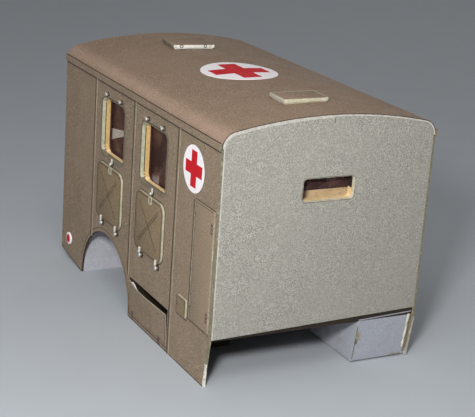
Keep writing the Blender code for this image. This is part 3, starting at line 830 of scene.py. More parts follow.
def bright_wire(tree, shader, own):
    """Bare metal with fine scratches and a little tarnish."""
    shader.inputs["Metallic"].default_value = 0.7
    tarnish = grain(tree, 900, 0.45, 0.75)
    tree.links.new(blend(tree, tarnish, own.wire, shade(own.wire, 0.45)), shader.inputs["Base Color"])
    tree.links.new(spread(tree, tarnish, to_low=0.34, to_high=0.55), shader.inputs["Roughness"])


def thin_film(tree, shader, own):
    """Clear film with a faint reddish tint and dust, which lets most of the light through."""
    dust = grain(tree, 1300, 0.66, 0.72, 2.0)
    haze = spread(tree, grain(tree, 90, 0.35, 0.65, 2.0), to_low=0.08, to_high=0.24)
    tree.links.new(blend(tree, dust, (0.25, 0.125, 0.11), (0.6, 0.5, 0.5)), shader.inputs["Base Color"])
    tree.links.new(sums(tree, "MAXIMUM", haze, times(tree, dust, 0.4)), shader.inputs["Alpha"])
    tree.links.new(spread(tree, dust, to_low=0.08, to_high=0.5), shader.inputs["Roughness"])


def plain_floor(tree, shader, own):
    """Pale even floor that takes the model's soft shadow."""
    faint = grain(tree, 40, 0.3, 0.7, 2.0)
    tree.links.new(blend(tree, faint, shade(own.floor, 0.985), shade(own.floor, 1.015)),
                   shader.inputs["Base Color"])
    shader.inputs["Roughness"].default_value = 0.7


def material(name):
    """A material by its recipe's name, made at its first use."""
    if name not in bpy.data.materials:
        own = bpy.context.scene.card_body_colours
        others = {"bright_wire": bright_wire, "thin_film": thin_film, "plain_floor": plain_floor}
        if name in others:
            others[name](*bare(name), own)
        else:
            card_material(name, own)
    return bpy.data.materials[name]

class CARD_BODY_OT_stage(bpy.types.Operator):
    """Pale floor, soft lamps, world and the camera at the photograph's angle"""

    bl_idname = "card_body.stage"
    bl_label = "Stage"

    def execute(self, context):
        scene = context.scene
        only(None)
        bpy.ops.mesh.primitive_plane_add(size=FLOOR_SIZE)
        floor = named("floor_plane")
        floor.data.materials.append(material("plain_floor"))
        for name, spot, size, power in LAMPS:
            lamp = bpy.data.lights.new(name, "AREA")
            lamp.size = size
            lamp.energy = power
            holder = bpy.data.objects.new(name, lamp)
            scene.collection.objects.link(holder)
            holder.location = spot
            holder.rotation_euler = (Vector(spot) - LAMP_TARGET).to_track_quat("Z", "Y").to_euler()
        world = bpy.data.worlds.new("studio")
        world.use_nodes = True
        scene.world = world
        sky = world.node_tree.nodes["Background"]
        sky.inputs["Color"].default_value = SKY
        sky.inputs["Strength"].default_value = SKY_STRENGTH
        scene.view_settings.view_transform = "Standard"
        camera = bpy.data.objects.new("camera", bpy.data.cameras.new("camera"))
        scene.collection.objects.link(camera)
        camera.data.lens = scene.card_body_sizes.lens
        camera.data.clip_start = 0.01
        ahead = Vector(CAMERA_AHEAD).normalized()
        across = ahead.cross(Vector(CAMERA_UPRIGHT)).normalized()
        camera.matrix_world = Matrix((across, across.cross(ahead), -ahead)).transposed().to_4x4()
        camera.location = CAMERA_SPOT
        scene.camera = camera
        return {"FINISHED"}


class CARD_BODY_OT_side_panels(bpy.types.Operator):
    """Printed side panels with their arches, windows and, on the right, the locker opening"""

    bl_idname = "card_body.side_panels"
    bl_label = "Side Panels"

    def execute(self, context):
        cut = (-3 * CARD, CARD)
        for side in SIDES:
            panel = side_block(f"side_panel_{side}", side, (0, LENGTH), (0, SKIN_TOP), -CARD, 0)
            slice_off(panel, (0, 0, WALL_BOTTOM), (0, -WALL_BOTTOM, -SKIRT_SLANT))
            slice_off(panel, (0, LENGTH, TAIL_RISE), TAIL_CUT)
            carve(panel, side_disc("arch", side, ARCH_CENTRE, 0, ARCH_RADIUS, *cut,
                                   context.scene.card_body_sizes.arch_steps))
            for place_name in PLACES:
                cutter = side_block("opening", side, *window(place_name, side), *cut)
                carve(panel, round_corners(cutter, ACROSS, WINDOW_RADIUS))
            if side == "right":
                span = grown(extent("locker_flap")[0], LOCKER_GAP)
                carve(panel, side_block("opening", side, span, LOCKER_RISE, *cut))
            dress(panel, "side_print inked_edge dull_edge", node=f"side_skin_{side}")
            paint(panel, 1, sideways(ACROSS, 0.5))
            paint(panel, 2, lambda face: face.normal.y < -0.9 and face.center.y < (FRONT + 2.7) * MM)
            soften(panel, 0.05, 1)
            # Dark line along the skirt's foot: partly an inked edge, partly its painted contact shadow
            strokes(f"skirt_line_{side}", side, (
                level(SKIRT_SLANT + 0.1, ARCH_START - 0.3, 0.17, 0.34),
                (ARCH_END + 0.4, 0.22, LENGTH - 0.1, TAIL_RISE + 0.16, 0.34, 0)))
        return {"FINISHED"}


class CARD_BODY_OT_window_edges(bpy.types.Operator):
    """Cut board layers and printed outlines round the side windows"""

    bl_idname = "card_body.window_edges"
    bl_label = "Window Edges"

    def execute(self, context):
        # Rings: label, growth over the opening, width, near and far lift, recipes and roughness
        rings = (("card_edge", 0.12, 0.2, -1.25, 0.02, "cut_edge dull_edge", 0.05),
                 ("groove", 0.2, 0.24, -1.6, -1.22, "inked_edge", 0),
                 ("board_edge", 0.1, 0.26, CORE_INNER + 0.75, -1.58, "ochre_layers tan_board", 0.05))
        for name, side, (span, rise) in [(f"window_{place_name}_{side}", side, window(place_name, side))
                                         for side in SIDES for place_name in PLACES]:
            for label, grow, width, near, far, recipes, rough in rings:
                ring = side_block(f"{name}_{label}", side, grown(span, grow), grown(rise, grow), near, far)
                hollow(round_corners(ring, ACROSS, WINDOW_RADIUS + grow, 10), ACROSS, width)
                if rough:
                    roughen(ring, rough, 0.9, 3)
                dress(ring, recipes)
                # Upward faces along the bottom take each ring's last recipe; on the outer card this darker
                # edge is painted shade
                paint(ring, recipes.count(" "),
                      lambda face: face.normal.z > 0.6 and face.center.z < (rise[0] + 1) * MM)
            for label, grow, width in (("outline", 0.28, 0.24), ("frame_line", 0.95, 0.15)):
                outline(f"{name}_{label}", side, grown(span, grow), grown(rise, grow), WINDOW_RADIUS + grow,
                        width)
            wire = (middle_of(span) - 7.0, middle_of(span) + 4.4)
            bar = side_block(f"{name}_wire", side, wire, (rise[1] + 0.8, rise[1] + 1.0), -0.02, 0.2)
            dress(soften(bar, 0.06), "rubbed_edge")
            strokes(f"{name}_wire_line", side, (level(*wire, rise[1] + 0.55, 0.22),))
        return {"FINISHED"}


class CARD_BODY_OT_covers(bpy.types.Operator):
    """Stowed blackout covers with their printed ribs and lines"""

    bl_idname = "card_body.covers"
    bl_label = "Blackout Covers"

    def execute(self, context):
        long, tall, gap = 7.7, 7.2, 0.32
        for name, side in [(f"{place_name}_{side}", side) for side in SIDES for place_name in PLACES]:
            node = f"blackout_cover_{name}"
            span, rise = extent(node)
            smooth(card(f"cover_{name}", side, node, COVER_LIFT, "cover_print cut_edge",
                        (sideways(ACROSS, 0.3),), 0.14, 2, 3.4, 10))
            # The outer line, on the panel round each cover, is its painted shadow; the inner one is print
            for label, grow, radius, lift in (("inner", -0.5, 2.9, COVER_LIFT), ("outer", 0.3, 3.7, 0)):
                outline(f"cover_line_{label}_{name}", side, grown(span, grow), grown(rise, grow), radius,
                        0.26, lift)
            d, z = middle_of(span), middle_of(rise)
            rows = [(d + long + shift, z - tall + shift, d - long + shift, z + tall + shift, 0.27, COVER_LIFT)
                    for shift in (-gap, gap)]
            rows.append((d + long, z + tall, d - long, z - tall, 0.3, COVER_LIFT))
            strokes(f"cover_cross_{name}", side, rows)
        return {"FINISHED"}


class CARD_BODY_OT_catches(bpy.types.Operator):
    """Wire catches that hold the windows and the covers"""

    bl_idname = "card_body.catches"
    bl_label = "Catches"

    def execute(self, context):
        radius = setting("pin_radius")
        # Lugs: span and rise about the pin, near and far lift
        half, window_lifts = (-0.4, 0.4), (0.25, 0.7)
        shapes = [((0, 2.2), half, window_lifts)] * 2 + [(half, (0, 1.9), window_lifts)] + \
                 [(half, (0.9, 3.1), (COVER_LIFT + SUNK, COVER_LIFT + 0.55))] * 2
        for side, sign in SIDES.items():
            pins, lugs, rings = [], [], []
            for place_name in PLACES:
                span, rise = window(place_name, side)
                cover_foot, cover_head = extent(f"blackout_cover_{place_name}_{side}")[1]
                middle = middle_of(span) - 1.2
                upper, clip, lower = rise[1] + 1.6, rise[0] - 1.6, cover_foot - 1.7
                spots = ((middle - 6.45, upper), (middle + 6.45, upper), (middle, clip),
                         (middle - 6.95, lower), (middle + 6.95, lower))
                for ball, (first, *others) in ((0.8 * radius, spots[:3]), (1.05 * radius, spots[3:])):
                    pin = turned(f"pins_{place_name}_{side}", spot_at(sign * (HALF - 0.1), *first),
                                 Vector((sign, 0, 0)), [(step, share * ball) for step, share in PIN_PROFILE])
                    pins.append(copies(pin, [(0, spot[0] - first[0], spot[1] - first[1]) for spot in others]))
                for (distance, height), (along, up, lifts) in zip(spots, shapes):
                    lug = side_block("lug", side, [distance + end for end in along],
                                     [height + end for end in up], *lifts)
                    lugs.append(soften(round_corners(lug, ACROSS, 0.36, 4), 0.12))
                loop = side_block("loop", side, around(middle, 1.2), (cover_head - 2.4, cover_head + 0.5),
                                  COVER_LIFT, COVER_LIFT + 0.3)
                hollow(round_corners(loop, ACROSS, 0.6, 4), ACROSS, 0.35)
                rings.append(soften(loop, 0.08, 1))
            pin = dress(smooth(join(f"catch_pins_{side}", pins), ROUND_ANGLE), "bright_wire inked_edge")
            # The dark foot round each ball is a painted shadow
            paint(pin, 1, lambda face: abs(face.center.x) < (HALF + 0.24) * MM)
            dress(smooth(join(f"catch_lugs_{side}", lugs)), "pale_metal")
            dress(join(f"catch_loops_{side}", rings), "cut_edge")
        return {"FINISHED"}


class CARD_BODY_OT_seams(bpy.types.Operator):
    """Strips over the panel joints and the cornice under the roof"""

    bl_idname = "card_body.seams"
    bl_label = "Seam Strips"

    def execute(self, context):
        for side in SIDES:
            for place_name in ("front", "middle", "rear"):
                node = f"seam_strip_{place_name}_{side}"
                (_, far), rise = extent(node)
                card(f"seam_{place_name}_{side}", side, node, SEAM_LIFT, "side_print rubbed_edge",
                     (facing(ALONG, -1, 0.9),), 0.04, 1)
                # Both dark lines, on the strip's rear edge and on the panel behind it, are the strip's
                # painted shadow
                strokes(f"seam_line_{place_name}_{side}", side,
                        (upright(far - 0.25, *rise, 0.3, SEAM_LIFT), upright(far + 0.65, *rise, 0.3)))
            node = f"cornice_{side}"
            card(f"cornice_card_{side}", side, node, CORNICE_LIFT, "side_print inked_edge dull_edge",
                 (facing(UP, 0, 0.5), lambda face: face.normal.y < -0.9 and face.center.x < 0), 0.1)
            foot = extent(node)[1][0]
            # The line under the cornice is its painted shadow
            strokes(f"cornice_line_{side}", side, (level(0.1, LENGTH - 0.1, foot - 0.72, 0.32),))
        return {"FINISHED"}


class CARD_BODY_OT_front_panel(bpy.types.Operator):
    """Tall locker doors, latch plates, side signs and reflectors"""

    bl_idname = "card_body.front_panel"
    bl_label = "Side Fittings"

    def execute(self, context):
        sticker = setting("sticker")
        edges = (sideways(ACROSS, 0.4), facing(UP, -1, 0.6))
        for side in SIDES:
            node = f"tall_locker_door_{side}"
            (near, far), (foot, head) = extent(node)
            smooth(card(f"tall_door_{side}", side, node, DOOR_LIFT, "side_print rubbed_edge inked_edge",
                        edges, 0.12, 2, 0.6))
            strokes(f"tall_door_band_{side}", side,
                    (upright(far - 0.5, foot + 0.2, head - 0.3, 0.6, DOOR_LIFT),), "rubbed_edge")
            # The wide line behind the door and the line under it, on the panel, are the door's painted shadow
            strokes(f"tall_door_lines_{side}", side, (
                upright(far - 1.0, foot + 0.3, head - 0.3, 0.16, DOOR_LIFT),
                level(near + 0.6, far - 0.6, foot + 0.35, 0.16, DOOR_LIFT),
                level(near + 0.6, far - 0.6, head - 0.35, 0.16, DOOR_LIFT),
                upright(far + 1.4, foot - 0.5, head - 0.5, 0.5),
                level(near, far + 3.2, foot - 0.5, 0.3), level(near, far + 0.4, head + 0.2, 0.22)))
            strokes(f"tall_door_hinges_{side}", side,
                    [level(near + 0.5, near + 1.9, height + step, 0.9, DOOR_LIFT)
                     for height in (foot + 5.3, head - 6.0) for step in HINGE_STEPS], "hinge_ink")
            strokes(f"tall_door_bolts_{side}", side, [level(far - 1.35, far - 0.75, height, 0.6, DOOR_LIFT)
                                                      for height in (foot + 5.0, head - 4.3)])

            node = f"latch_plate_{side}"
            (near, far), (foot, head) = extent(node)
            card(f"latch_{side}", side, node, DOOR_LIFT, "cover_print cut_edge inked_edge", edges, 0.1, 2,
                 0.6)
            # The lines on the panel under and behind the plate are its painted shadow
            strokes(f"latch_lines_{side}", side, (
                level(far - 0.9, far - 0.3, middle_of((foot, head)), 0.6, DOOR_LIFT),
                level(near - 0.1, far + 0.9, foot - 0.55, 0.4),
                upright(near + 0.7, foot + 0.4, head - 0.5, 0.24, DOOR_LIFT),
                level(near + 0.7, far - 0.5, head - 0.6, 0.16, DOOR_LIFT),
                upright(far + 1.25, foot - 0.5, head - 0.4, 0.36)))

            node = f"red_cross_{side}"
            distance, height, radius = round_place(*extent(node))
            round_sign = side_disc(f"sign_disc_{side}", side, distance, height, radius, -0.02, sticker)
            dress(round_sign, "sign_white print_ink", node)
            paint(round_sign, 1, sideways(ACROSS, 0.5))
            bars = [side_block("arm", side, around(distance, wide), around(height, tall), 0, sticker + 0.02)
                    for wide, tall in cross_arms(radius)]
            carve(*bars, "UNION").name = f"sign_cross_{side}"
            dress(bars[0], "sign_red")

            node = f"reflector_{side}"
            distance, height, radius = round_place(*extent(node))
            rim = side_disc(f"reflector_rim_{side}", side, distance, height, radius, -0.02, 0.55)
            dress(smooth(soften(rim, 0.15)), "sign_white", node)
            lens = side_disc(f"reflector_lens_{side}", side, distance, height, 0.66 * radius, 0.4, 0.75)
            dress(smooth(soften(lens, 0.2, 3)), "sign_red")
            ring = side_disc(f"arch_line_{side}", side, ARCH_CENTRE, 0, ARCH_RADIUS + 1.45, 0,
                             setting("ink_rise"), FINE_STEPS)
            hollow(ring, ACROSS, 0.2)
            # On the right the line ends above the flap's way
            dress(slice_off(ring, (0, 0, 6.5 if side == "right" else 0.4), (0, 0, -1)), "print_ink")
        return {"FINISHED"}


class CARD_BODY_OT_roof(bpy.types.Operator):
    """Curved roof card and its sign"""

    bl_idname = "card_body.roof"
    bl_label = "Roof"

    def execute(self, context):
        sticker = setting("sticker")
        roof = roof_sheet("roof_card", 0, CARD, 0, LENGTH)
        dress(roof, "roof_print pale_border dull_edge", "roof_skin")
        dress(roof_sheet("roof_rim_line", 0, 0.26, -0.03, 0.05), "print_ink")
        # The roof card's front end takes the pale border with its painted highlight
        paint(roof, 1, facing(ALONG, -1, 0.9))
        paint(roof, 2, facing(ALONG, 1, 0.9))
        smooth(roof)
        across, along, _ = ranges("red_cross_roof")
        aside, distance, radius = round_place(across, along)
        # The sign is glued a little aside, and its print is smaller than the node
        aside -= 0.5
        radius *= 0.975
        height = (EAVES + 1, CROWN + 3)
        white = roof_sheet("roof_sign", sticker, sticker + 0.05, *grown(along, 1.5))
        carve(white, disc("trim", (aside, distance, 0), radius, UP, height, FINE_STEPS),
              "INTERSECT")
        dress(smooth(white), "sign_white", "red_cross_roof")
        red = roof_sheet("roof_cross", sticker + 0.03, sticker, *grown(along, 1.5))
        trims = [block("trim", around(aside, wide), around(distance, tall), height)
                 for wide, tall in cross_arms(radius)]
        carve(red, carve(*trims, "UNION"), "INTERSECT")
        dress(smooth(red), "sign_red")
        return {"FINISHED"}


class CARD_BODY_OT_hatches(bpy.types.Operator):
    """Roof hatches with their cream card edges and wire rings"""

    bl_idname = "card_body.hatches"
    bl_label = "Roof Hatches"

    def execute(self, context):
        # Hatches: place, distance aside and back, width, depth, turn, recipes of the left edge and the border
        for place_name, aside, distance, width, depth, turn, left_edge, border_look in (
                ("front", -1.9, 20.6, 16.9, 10.3, 0.0, "handled_card", "cut_edge"),
                ("rear", 0.0, 110.8, 16.9, 14.1, -6.0, "dull_edge", "rubbed_edge")):
            across, along = around(0, width / 2), around(0, depth / 2)
            plates = []
            for label, grow, low, high in (("base", -0.45, -0.3, 0.35), ("top", 0.0, 0.3, 1.5)):
                plate = block(label, grown(across, grow), grown(along, grow), (CROWN + low, CROWN + high), 0)
                plates.append(soften(round_corners(plate, UP, 0.4, 3), 0.12))
            hatch = join(f"hatch_{place_name}", plates)
            border = block(f"hatch_border_{place_name}", across, along, (CROWN + 1.48, CROWN + 1.53), 0)
            things = [hatch, hollow(round_corners(border, UP, 0.4, 3), UP, 0.34)]
            if place_name == "rear":
                rings = []
                # Each hatch ring hangs in an upright eye: offset, height, tilt and radius of both
                for spot in (-5.1, 4.5):
                    for offset, height, tilt, radius in ((0.05, 1.0, math.pi / 2, 0.55),
                                                         (0.75, -0.12, -0.1, 1.05)):
                        only(None)
                        bpy.ops.mesh.primitive_torus_add(
                            location=(spot * MM, (along[0] - offset) * MM, (CROWN + height) * MM),
                            rotation=(tilt, 0, 0), major_segments=20, minor_segments=8,
                            minor_radius=0.17 * MM, major_radius=radius * MM)
                        rings.append(named("ring"))
                things.append(join("hatch_rings", rings))
            for thing in things:
                moved(thing, spot_at(aside, distance, 0), (0, 0, math.radians(turn)))
            dress(hatch, f"roof_print cream_edge torn_edge {left_edge}",
                  f"roof_hatch_{place_name}")
            paint(hatch, 1, sideways(UP, 0.8))
            paint(hatch, 3, facing(ACROSS, -1, 0.7))
            dress(things[1], border_look)
            if place_name == "rear":
                paint(hatch, 2, facing(ALONG, -1, 0.8))
                dress(smooth(things[2], ROUND_ANGLE), "dark_wire")
            smooth(hatch)
        return {"FINISHED"}


class CARD_BODY_OT_end_walls(bpy.types.Operator):
    """Front wall with its narrow window, and the rear wall with its two doors"""

    bl_idname = "card_body.end_walls"
    bl_label = "End Walls"

    def execute(self, context):
        self.front_wall()
        rear = end_wall("rear_card", LENGTH - CARD, LENGTH)
        for side, sign in SIDES.items():
            self.rear_door(rear, side, sign)
        face = ranges("rear_door_left")[ALONG][1]
        dress(disc("handle_plate", (3.4, 0, 46), 1.5, ALONG, (face - 0.02, face + 0.12), 32), "cut_edge")
        handle = end_block("handle_bar", (-0.2, 4.0), (45.5, 46.5), (face + 0.1, face + 0.5), 0.45, 4)
        dress(smooth(soften(handle, 0.1)), "pale_metal")
        # Tabs inside the windows: place, reach, rise, taper and recipe. Their pale card is painted light, for
        # the pools of light that fall inside through the windows
        tabs = (("rear", 6.4, (57.0, 62.0), 0.45, "torn_edge"),
                ("front", 5.0, (47.0, 55.5), 0.8, "half_shaded_card"))
        for side in SIDES:
            for place_name, reach, rise, taper, recipe in tabs:
                end = window(place_name, side)[0][1] + 3.2
                tab = side_block(f"window_tab_{place_name}_{side}", side, (end, end + 0.4), rise,
                                 CORE_INNER - reach, CORE_INNER - SUNK)
                squeeze(tab, lambda spot: abs(spot.x) < (HALF + CORE_INNER - 1) * MM, (1, 1, taper),
                        spot_at(0, 0, rise[0] + 2))
                dress(soften(tab, 0.1, 1), recipe)
        dress(rear, "side_print torn_edge", node="rear_wall")
        soften(rear, 0.12, 1, 1)
        return {"FINISHED"}

    def front_wall(self):
        """Front wall, its window's board edges, and what is glued behind it."""
        front = end_wall("front_card", 0, CARD)
        choose(front, "FACE", facing(ALONG, -1))
        bpy.ops.mesh.inset(thickness=0.45 * MM)
        across, _, up = (grown(pair, -FILM_LAP) for pair in ranges("window_film_bulkhead"))
        carve(front, end_block("opening", across, up, (-1, 2), BULKHEAD_RADIUS))
        slice_off(front, (0, 0, FRONT_FOOT), (FRONT_FOOT_RISE, 0, -HALF * 2))
        front.data.materials.clear()
        dress(front, "front_print pale_border torn_edge", "front_wall")
        soften(front, 0.12, 1, 1)
        paint(front, 2, sideways(ALONG, 0.2))
        paint(front, 0, facing(ALONG, 0, 0.3))
        # The white border, a pale card edge with a painted highlight, shows along the wall's right edge and
        # over its right half, the side nearer the light
        paint(front, 1, lambda face: face.normal.y < -0.3 and face.area < 1e-4 and face.center.x < 0 and
              (face.center.x < (CARD + 0.5 - HALF) * MM or face.center.z > EAVES * MM))
        grow = 0.1
        for label, width, along, recipe in (("card_edge", 0.14, (-0.02, 1.6), "cream_edge"),
                                            ("board_edge", 0.22, (1.7, 3.9), "tan_board")):
            ring = end_block(f"bulkhead_{label}", grown(across, grow), grown(up, grow), along,
                             BULKHEAD_RADIUS + grow)
            roughen(hollow(ring, ALONG, width), 0.08, 0.8, 2)
            dress(ring, f"{recipe} dark_board")
            if label == "board_edge":
                # The upper part of the tan board edge is painted shade
                paint(ring, 1, lambda face: face.center.z > 65.4 * MM)
        grow = 0.2
        line = end_block("bulkhead_outline", grown(across, grow), grown(up, grow), (-0.03, 0),
                         BULKHEAD_RADIUS + grow)
        dress(hollow(line, ALONG, 0.17), "print_ink")
        # A dark strip of painted shade behind the wall's foot
        dress(block("front_foot_shade", around(0, HALF - CARD), (CARD + 0.01, CARD + 0.08),
                    (WALL_BOTTOM, WALL_BOTTOM + 4)), "dark_board")
        dress(block("centre_tick", around(0, 0.1), (-0.03, 0), (87.6, 89.3)), "print_ink")
        shelf = block("bulkhead_shelf", around(0, 14), around(0, 2.45), around(0, 0.3), 0)
        moved(shelf, spot_at(0, 6.7, 60.9), (math.radians(42), 0, 0))
        dress(soften(shelf, 0.1, 1), "tan_board")

    def rear_door(self, rear, side, sign):
        """One rear door with its window, cut through the rear wall as well."""
        across, _, up = (grown(pair, -FILM_LAP) for pair in ranges(f"window_film_door_{side}"))
        node = f"rear_door_{side}"
        door_across, (_, face), door_up = ranges(node)
        carve(rear, end_block("opening", across, up, around(LENGTH, 3), DOOR_RADIUS))
        door = end_block(f"door_{side}", door_across, door_up, (LENGTH - 0.02, face), DOOR_RADIUS)
        carve(door, end_block("opening", across, up, around(LENGTH, 3), DOOR_RADIUS))
        dress(soften(door, 0.12), "side_print cut_edge", node=node)
        paint(door, 1, sideways(ALONG, 0.4))
        line = end_block(f"door_line_{side}", grown(door_across, 0.35), grown(door_up, 0.35),
                         (LENGTH, LENGTH + 0.03), DOOR_RADIUS + 0.3)
        dress(hollow(line, ALONG, 0.3), "print_ink")
        hinges = [block("hinge", around(sign * REAR_HINGE_ASIDE, 0.7), (face, face + 0.03),
                        around(height + step, 0.45)) for height in REAR_HINGE_HEIGHTS for step in HINGE_STEPS]
        dress(join(f"door_hinges_{side}", hinges), "hinge_ink")
        inner = ranges("rear_core")[ALONG][0]
        blind = end_block(f"door_blind_{side}", grown(across, 2), grown(up, 1.5), (inner - 0.5, inner + 0.02),
                          1.5, 4)
        dress(soften(blind, 0.1, 1), "inner_board")


class CARD_BODY_OT_boxes(bpy.types.Operator):
    """Folded grey board boxes under the floor"""

    bl_idname = "card_body.boxes"
    bl_label = "Lower Boxes"

    def execute(self, context):
        wall = 1.0
        # How the corners of the box at the left front are pushed: test in metres, and move
        inside, front, low, high = 20 * MM, (FRONT + 3) * MM, 3 * MM, 14 * MM
        pushes = ((lambda spot: spot.z < low and spot.y < front, (0, BOX_SLANT, 0)),
                  (lambda spot: spot.z > high and spot.y < front, (0, 0, 2.4)),
                  (lambda spot: spot.z > high and spot.y < front and spot.x < inside, (0, 0, -0.8)),
                  (lambda spot: spot.x < inside, (BOX_NARROWING, 0, 0)),
                  (lambda spot: spot.z < 0.5 * MM, (0, 0, 0.6)),
                  (lambda spot: spot.y < (FRONT + 4) * MM, (0, BOX_SETBACK, 0)))
        for node in ("front_box_left", "rear_box_left", "rear_box_right"):
            foot, head = ranges(node)[UP]
            box = block(node.replace("box", "carton"), *ranges(node))
            choose(box, "FACE", facing(UP, 1))
            bpy.ops.mesh.inset(thickness=wall * MM)
            extrude((0, 0, foot + wall - head))
            only(box)
            if node.startswith("rear"):
                slice_off(box, (0, LENGTH, TAIL_RISE + 0.3), TAIL_CUT)
            else:
                for test, move in pushes:
                    push(box, test, move)
            dress(box, "grey_card", node)
            soften(box, 0.15, 1)
        (inner, outer), (start, _), _ = ranges("front_box_left")
        inner += BOX_NARROWING
        hang = 15.5
        # Scraps on its front: label, range across, range up from where they hang, roughness and recipe
        for label, across, up, strength, recipe in (
                ("edge", (inner - 0.05, inner + 0.22), (-14.0, -0.8), 0.5, "dull_edge"),
                ("flake", (inner + 0.1, inner + 1.7), (-6.4, -3.6), 1.8, "rubbed_edge"),
                ("flake_low", (inner + 0.1, inner + 0.9), (-8.0, -6.2), 1.4, "dull_edge"),
                ("corner", (outer - 1.7, outer - 0.9), (-12.0, 1.2), 1.3, "torn_edge"),
                ("crack", (outer - 0.85, outer - 0.2), (-13.8, 1.0), 0.9, "dull_edge"),
                ("foot", (outer - 7.0, outer - 1.6), (-14.7, -14.35), 0.6, "rubbed_edge")):
            scrap = block(f"carton_scrap_{label}", across, (-0.08, 0.05), up, 0)
            roughen(scrap, strength, 0.8, 15, ("X", "Z"))
            moved(scrap, spot_at(0, start + BOX_SETBACK, hang), (math.atan2(BOX_SLANT, hang), 0, 0))
            dress(scrap, recipe)
        return {"FINISHED"}


class CARD_BODY_OT_flap(bpy.types.Operator):
    """Lower locker flap of thin card, a little twisted and ajar, and the torn edges of the skirts"""

    bl_idname = "card_body.flap"
    bl_label = "Locker Flap"

    def execute(self, context):
        span, rise = extent("locker_flap")
        (near, far), (foot, head) = span, rise
        # Printed bolts and hinges, which the left side has as well
        bolts = (level(far - 2.4, far - 1.8, head - 2.1, 0.6), level(near + 5.6, near + 6.2, head - 2.0, 0.6))

        def hinges(height, width):
            return [level(start, end, height, width) for start, end in ((far - 4.0, far - 2.3),
                                                                        (near + 4.6, near + 6.3))]

        flap = subdivide(block("flap_card", (-HALF, -HALF + 0.32), span, rise), 11)
        soften(flap, 0.06, 1)
        dress(flap, "side_print rubbed_edge inked_edge cut_edge", node="locker_flap", body=FLAP)
        for slot, test in enumerate((sideways(ACROSS, 0.5), facing(UP, -1, 0.5), facing(UP, 1, 0.5)), 1):
            paint(flap, slot, test)
        folds = (level(near + 0.4, far - 0.4, foot + 0.9, 0.18),
                 upright(near + 0.35, foot + 0.9, head - 0.3, 0.16))
        marks = strokes("flap_marks", "right", (*bolts, *folds), body=FLAP)
        flap_hinges = strokes("flap_hinges", "right", hinges(foot + 0.9, 1.7), "hinge_ink", FLAP)
        scrap = side_block("flap_scrap", "right", (far - 9.2, far - 1.6), (head - 0.3, head + 0.85), -0.3,
                           -0.02)
        squeeze(scrap, lambda spot: spot.z > head * MM, (1, 0.3, 1), spot_at(0, far - 4.2, head))
        dress(roughen(scrap, 0.3, 1.2, 7, ("Y", "Z")), "torn_edge", body=FLAP)
        self.bend((flap, marks, flap_hinges, scrap), span, rise)
        strokes("sill_hinges", "right", hinges(0.75, 0.9), "hinge_ink")
        # The dark lining at the locker's rear edge is painted shade
        lining = side_block("locker_lining", "right", (far - 0.35, far + 1.0), (0.4, 15.6), -0.95, -0.62)
        dress(soften(lining, 0.05, 1), "dark_board")

        outline("locker_print_left", "left", grown(span, LOCKER_GAP), LOCKER_RISE, 0, 0.2)
        strokes("locker_print_marks_left", "left", bolts)
        strokes("locker_print_hinges_left", "left", hinges(1.6, 1.7), "hinge_ink")
        for side in SIDES:
            self.torn_skirt(side)
        return {"FINISHED"}

    def bend(self, pieces, span, rise):
        """Lean the top of the flap and of what is glued on it outwards, and let its front end droop."""
        only(None)
        bpy.ops.object.add(type="LATTICE", location=spot_at(-HALF, middle_of(span), middle_of(rise)))
        cage = bpy.context.active_object
        depth, height = 4, rise[1] - rise[0]
        cage.scale = (depth * MM, (span[1] - span[0]) * MM, height * MM)
        cage.data.points_v = len(FLAP_LEAN)
        cage.data.points_w = 3
        cage.data.interpolation_type_v = "KEY_LINEAR"
        cage.data.interpolation_type_w = "KEY_CARDINAL"
        for point in cage.data.points:
            lean = FLAP_LEAN[round((point.co.y + 0.5) * (len(FLAP_LEAN) - 1))]
            share = (0, 0.32, 1)[round((point.co.z + 0.5) * 2)]
            point.co_deform.x = point.co.x - lean * share / depth
            point.co_deform.z = point.co.z - FLAP_DROOP * (0.5 - point.co.y) / height * share
        for piece in pieces:
            modify(piece, "LATTICE", object=cage)
        bpy.data.objects.remove(cage)

    def torn_skirt(self, side):
        """Torn white strip and frayed edge above it, on the slanted front edge of one skirt."""
        for label, foot, head, deep, recipe in (("torn", 0.1, 9.3, 0.95, "torn_edge"),
                                                ("frayed", 8.6, 15.6, 0.7, "dull_edge")):
            low_end, high_end = (SKIRT_SLANT * (1 - height / WALL_BOTTOM) for height in (foot, head))
            strip = side_block(f"skirt_{label}_{side}", side, (high_end - 0.2, high_end + 0.5), (foot, head),
                               -deep, 0.03)
            middle = middle_of((foot, head)) * MM
            push(strip, lambda spot: spot.z < middle, (0, low_end - high_end, 0))
            squeeze(strip, lambda spot: spot.z > middle, (0.45, 1, 1), spot_at(SIDES[side] * HALF, 0, 0))
            roughen(strip, 0.35, 1.0, 11, ("X", "Y"))
            dress(strip, recipe if side == "right" else "handled_card")


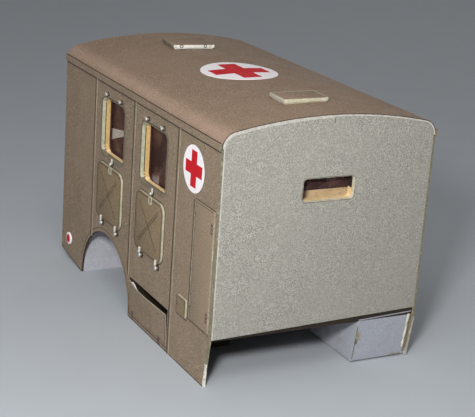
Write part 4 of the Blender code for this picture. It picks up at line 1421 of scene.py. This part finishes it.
class CARD_BODY_OT_board_and_film(bpy.types.Operator):
    """Materials of the frame's own parts that stay: boards inside, wheel wells, floor and films"""

    bl_idname = "card_body.board_and_film"
    bl_label = "Boards and Films"

    def execute(self, context):
        # The roof board, floor and locker box take the dark board, painted shade; the wheel wells take the
        # pale board, a lit copy of the grey board
        rows = (("window_film", "thin_film"), ("side_core", "core_board"), ("front_core", "inner_board"),
                ("rear_core", "inner_board"), ("roof_board", "dark_board"), ("floor", "dark_board"),
                ("wheel_well", "lit_well_card"), ("locker_box", "dark_board"))
        for name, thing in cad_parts.items():
            for start, recipe in rows:
                if name.startswith(start):
                    thing.data.materials.clear()
                    thing.data.materials.append(material(recipe))
        return {"FINISHED"}


class CARD_BODY_PT_panel(bpy.types.Panel):
    """Sizes, colours and the steps of the dressing"""

    bl_idname = "CARD_BODY_PT_panel"
    bl_label = "Card Body"
    bl_space_type = "VIEW_3D"
    bl_region_type = "UI"
    bl_category = "Card Body"

    def draw(self, context):
        for settings in (context.scene.card_body_sizes, context.scene.card_body_colours):
            for key in settings.bl_rna.properties.keys():
                if key not in {"rna_type", "name"}:
                    self.layout.prop(settings, key)
        for step in STEPS:
            self.layout.operator(step.bl_idname)


STEPS = (CARD_BODY_OT_stage, CARD_BODY_OT_side_panels, CARD_BODY_OT_window_edges, CARD_BODY_OT_covers,
         CARD_BODY_OT_catches, CARD_BODY_OT_seams, CARD_BODY_OT_front_panel, CARD_BODY_OT_roof,
         CARD_BODY_OT_hatches, CARD_BODY_OT_end_walls, CARD_BODY_OT_boxes, CARD_BODY_OT_flap,
         CARD_BODY_OT_board_and_film)
CLASSES = (CardBodyColours, CardBodySizes, *STEPS, CARD_BODY_PT_panel)


def register():
    """Register the classes and the settings."""
    for part in CLASSES:
        bpy.utils.register_class(part)
    bpy.types.Scene.card_body_colours = PointerProperty(type=CardBodyColours)
    bpy.types.Scene.card_body_sizes = PointerProperty(type=CardBodySizes)


def unregister():
    """Take the classes and the settings away again."""
    del bpy.types.Scene.card_body_sizes
    del bpy.types.Scene.card_body_colours
    for part in reversed(CLASSES):
        bpy.utils.unregister_class(part)


def main():
    """Dress the whole model."""
    register()
    for step in STEPS:
        group, call = step.bl_idname.split(".")
        getattr(getattr(bpy.ops, group), call)()
    only(None)


if __name__ == "__main__":
    main()
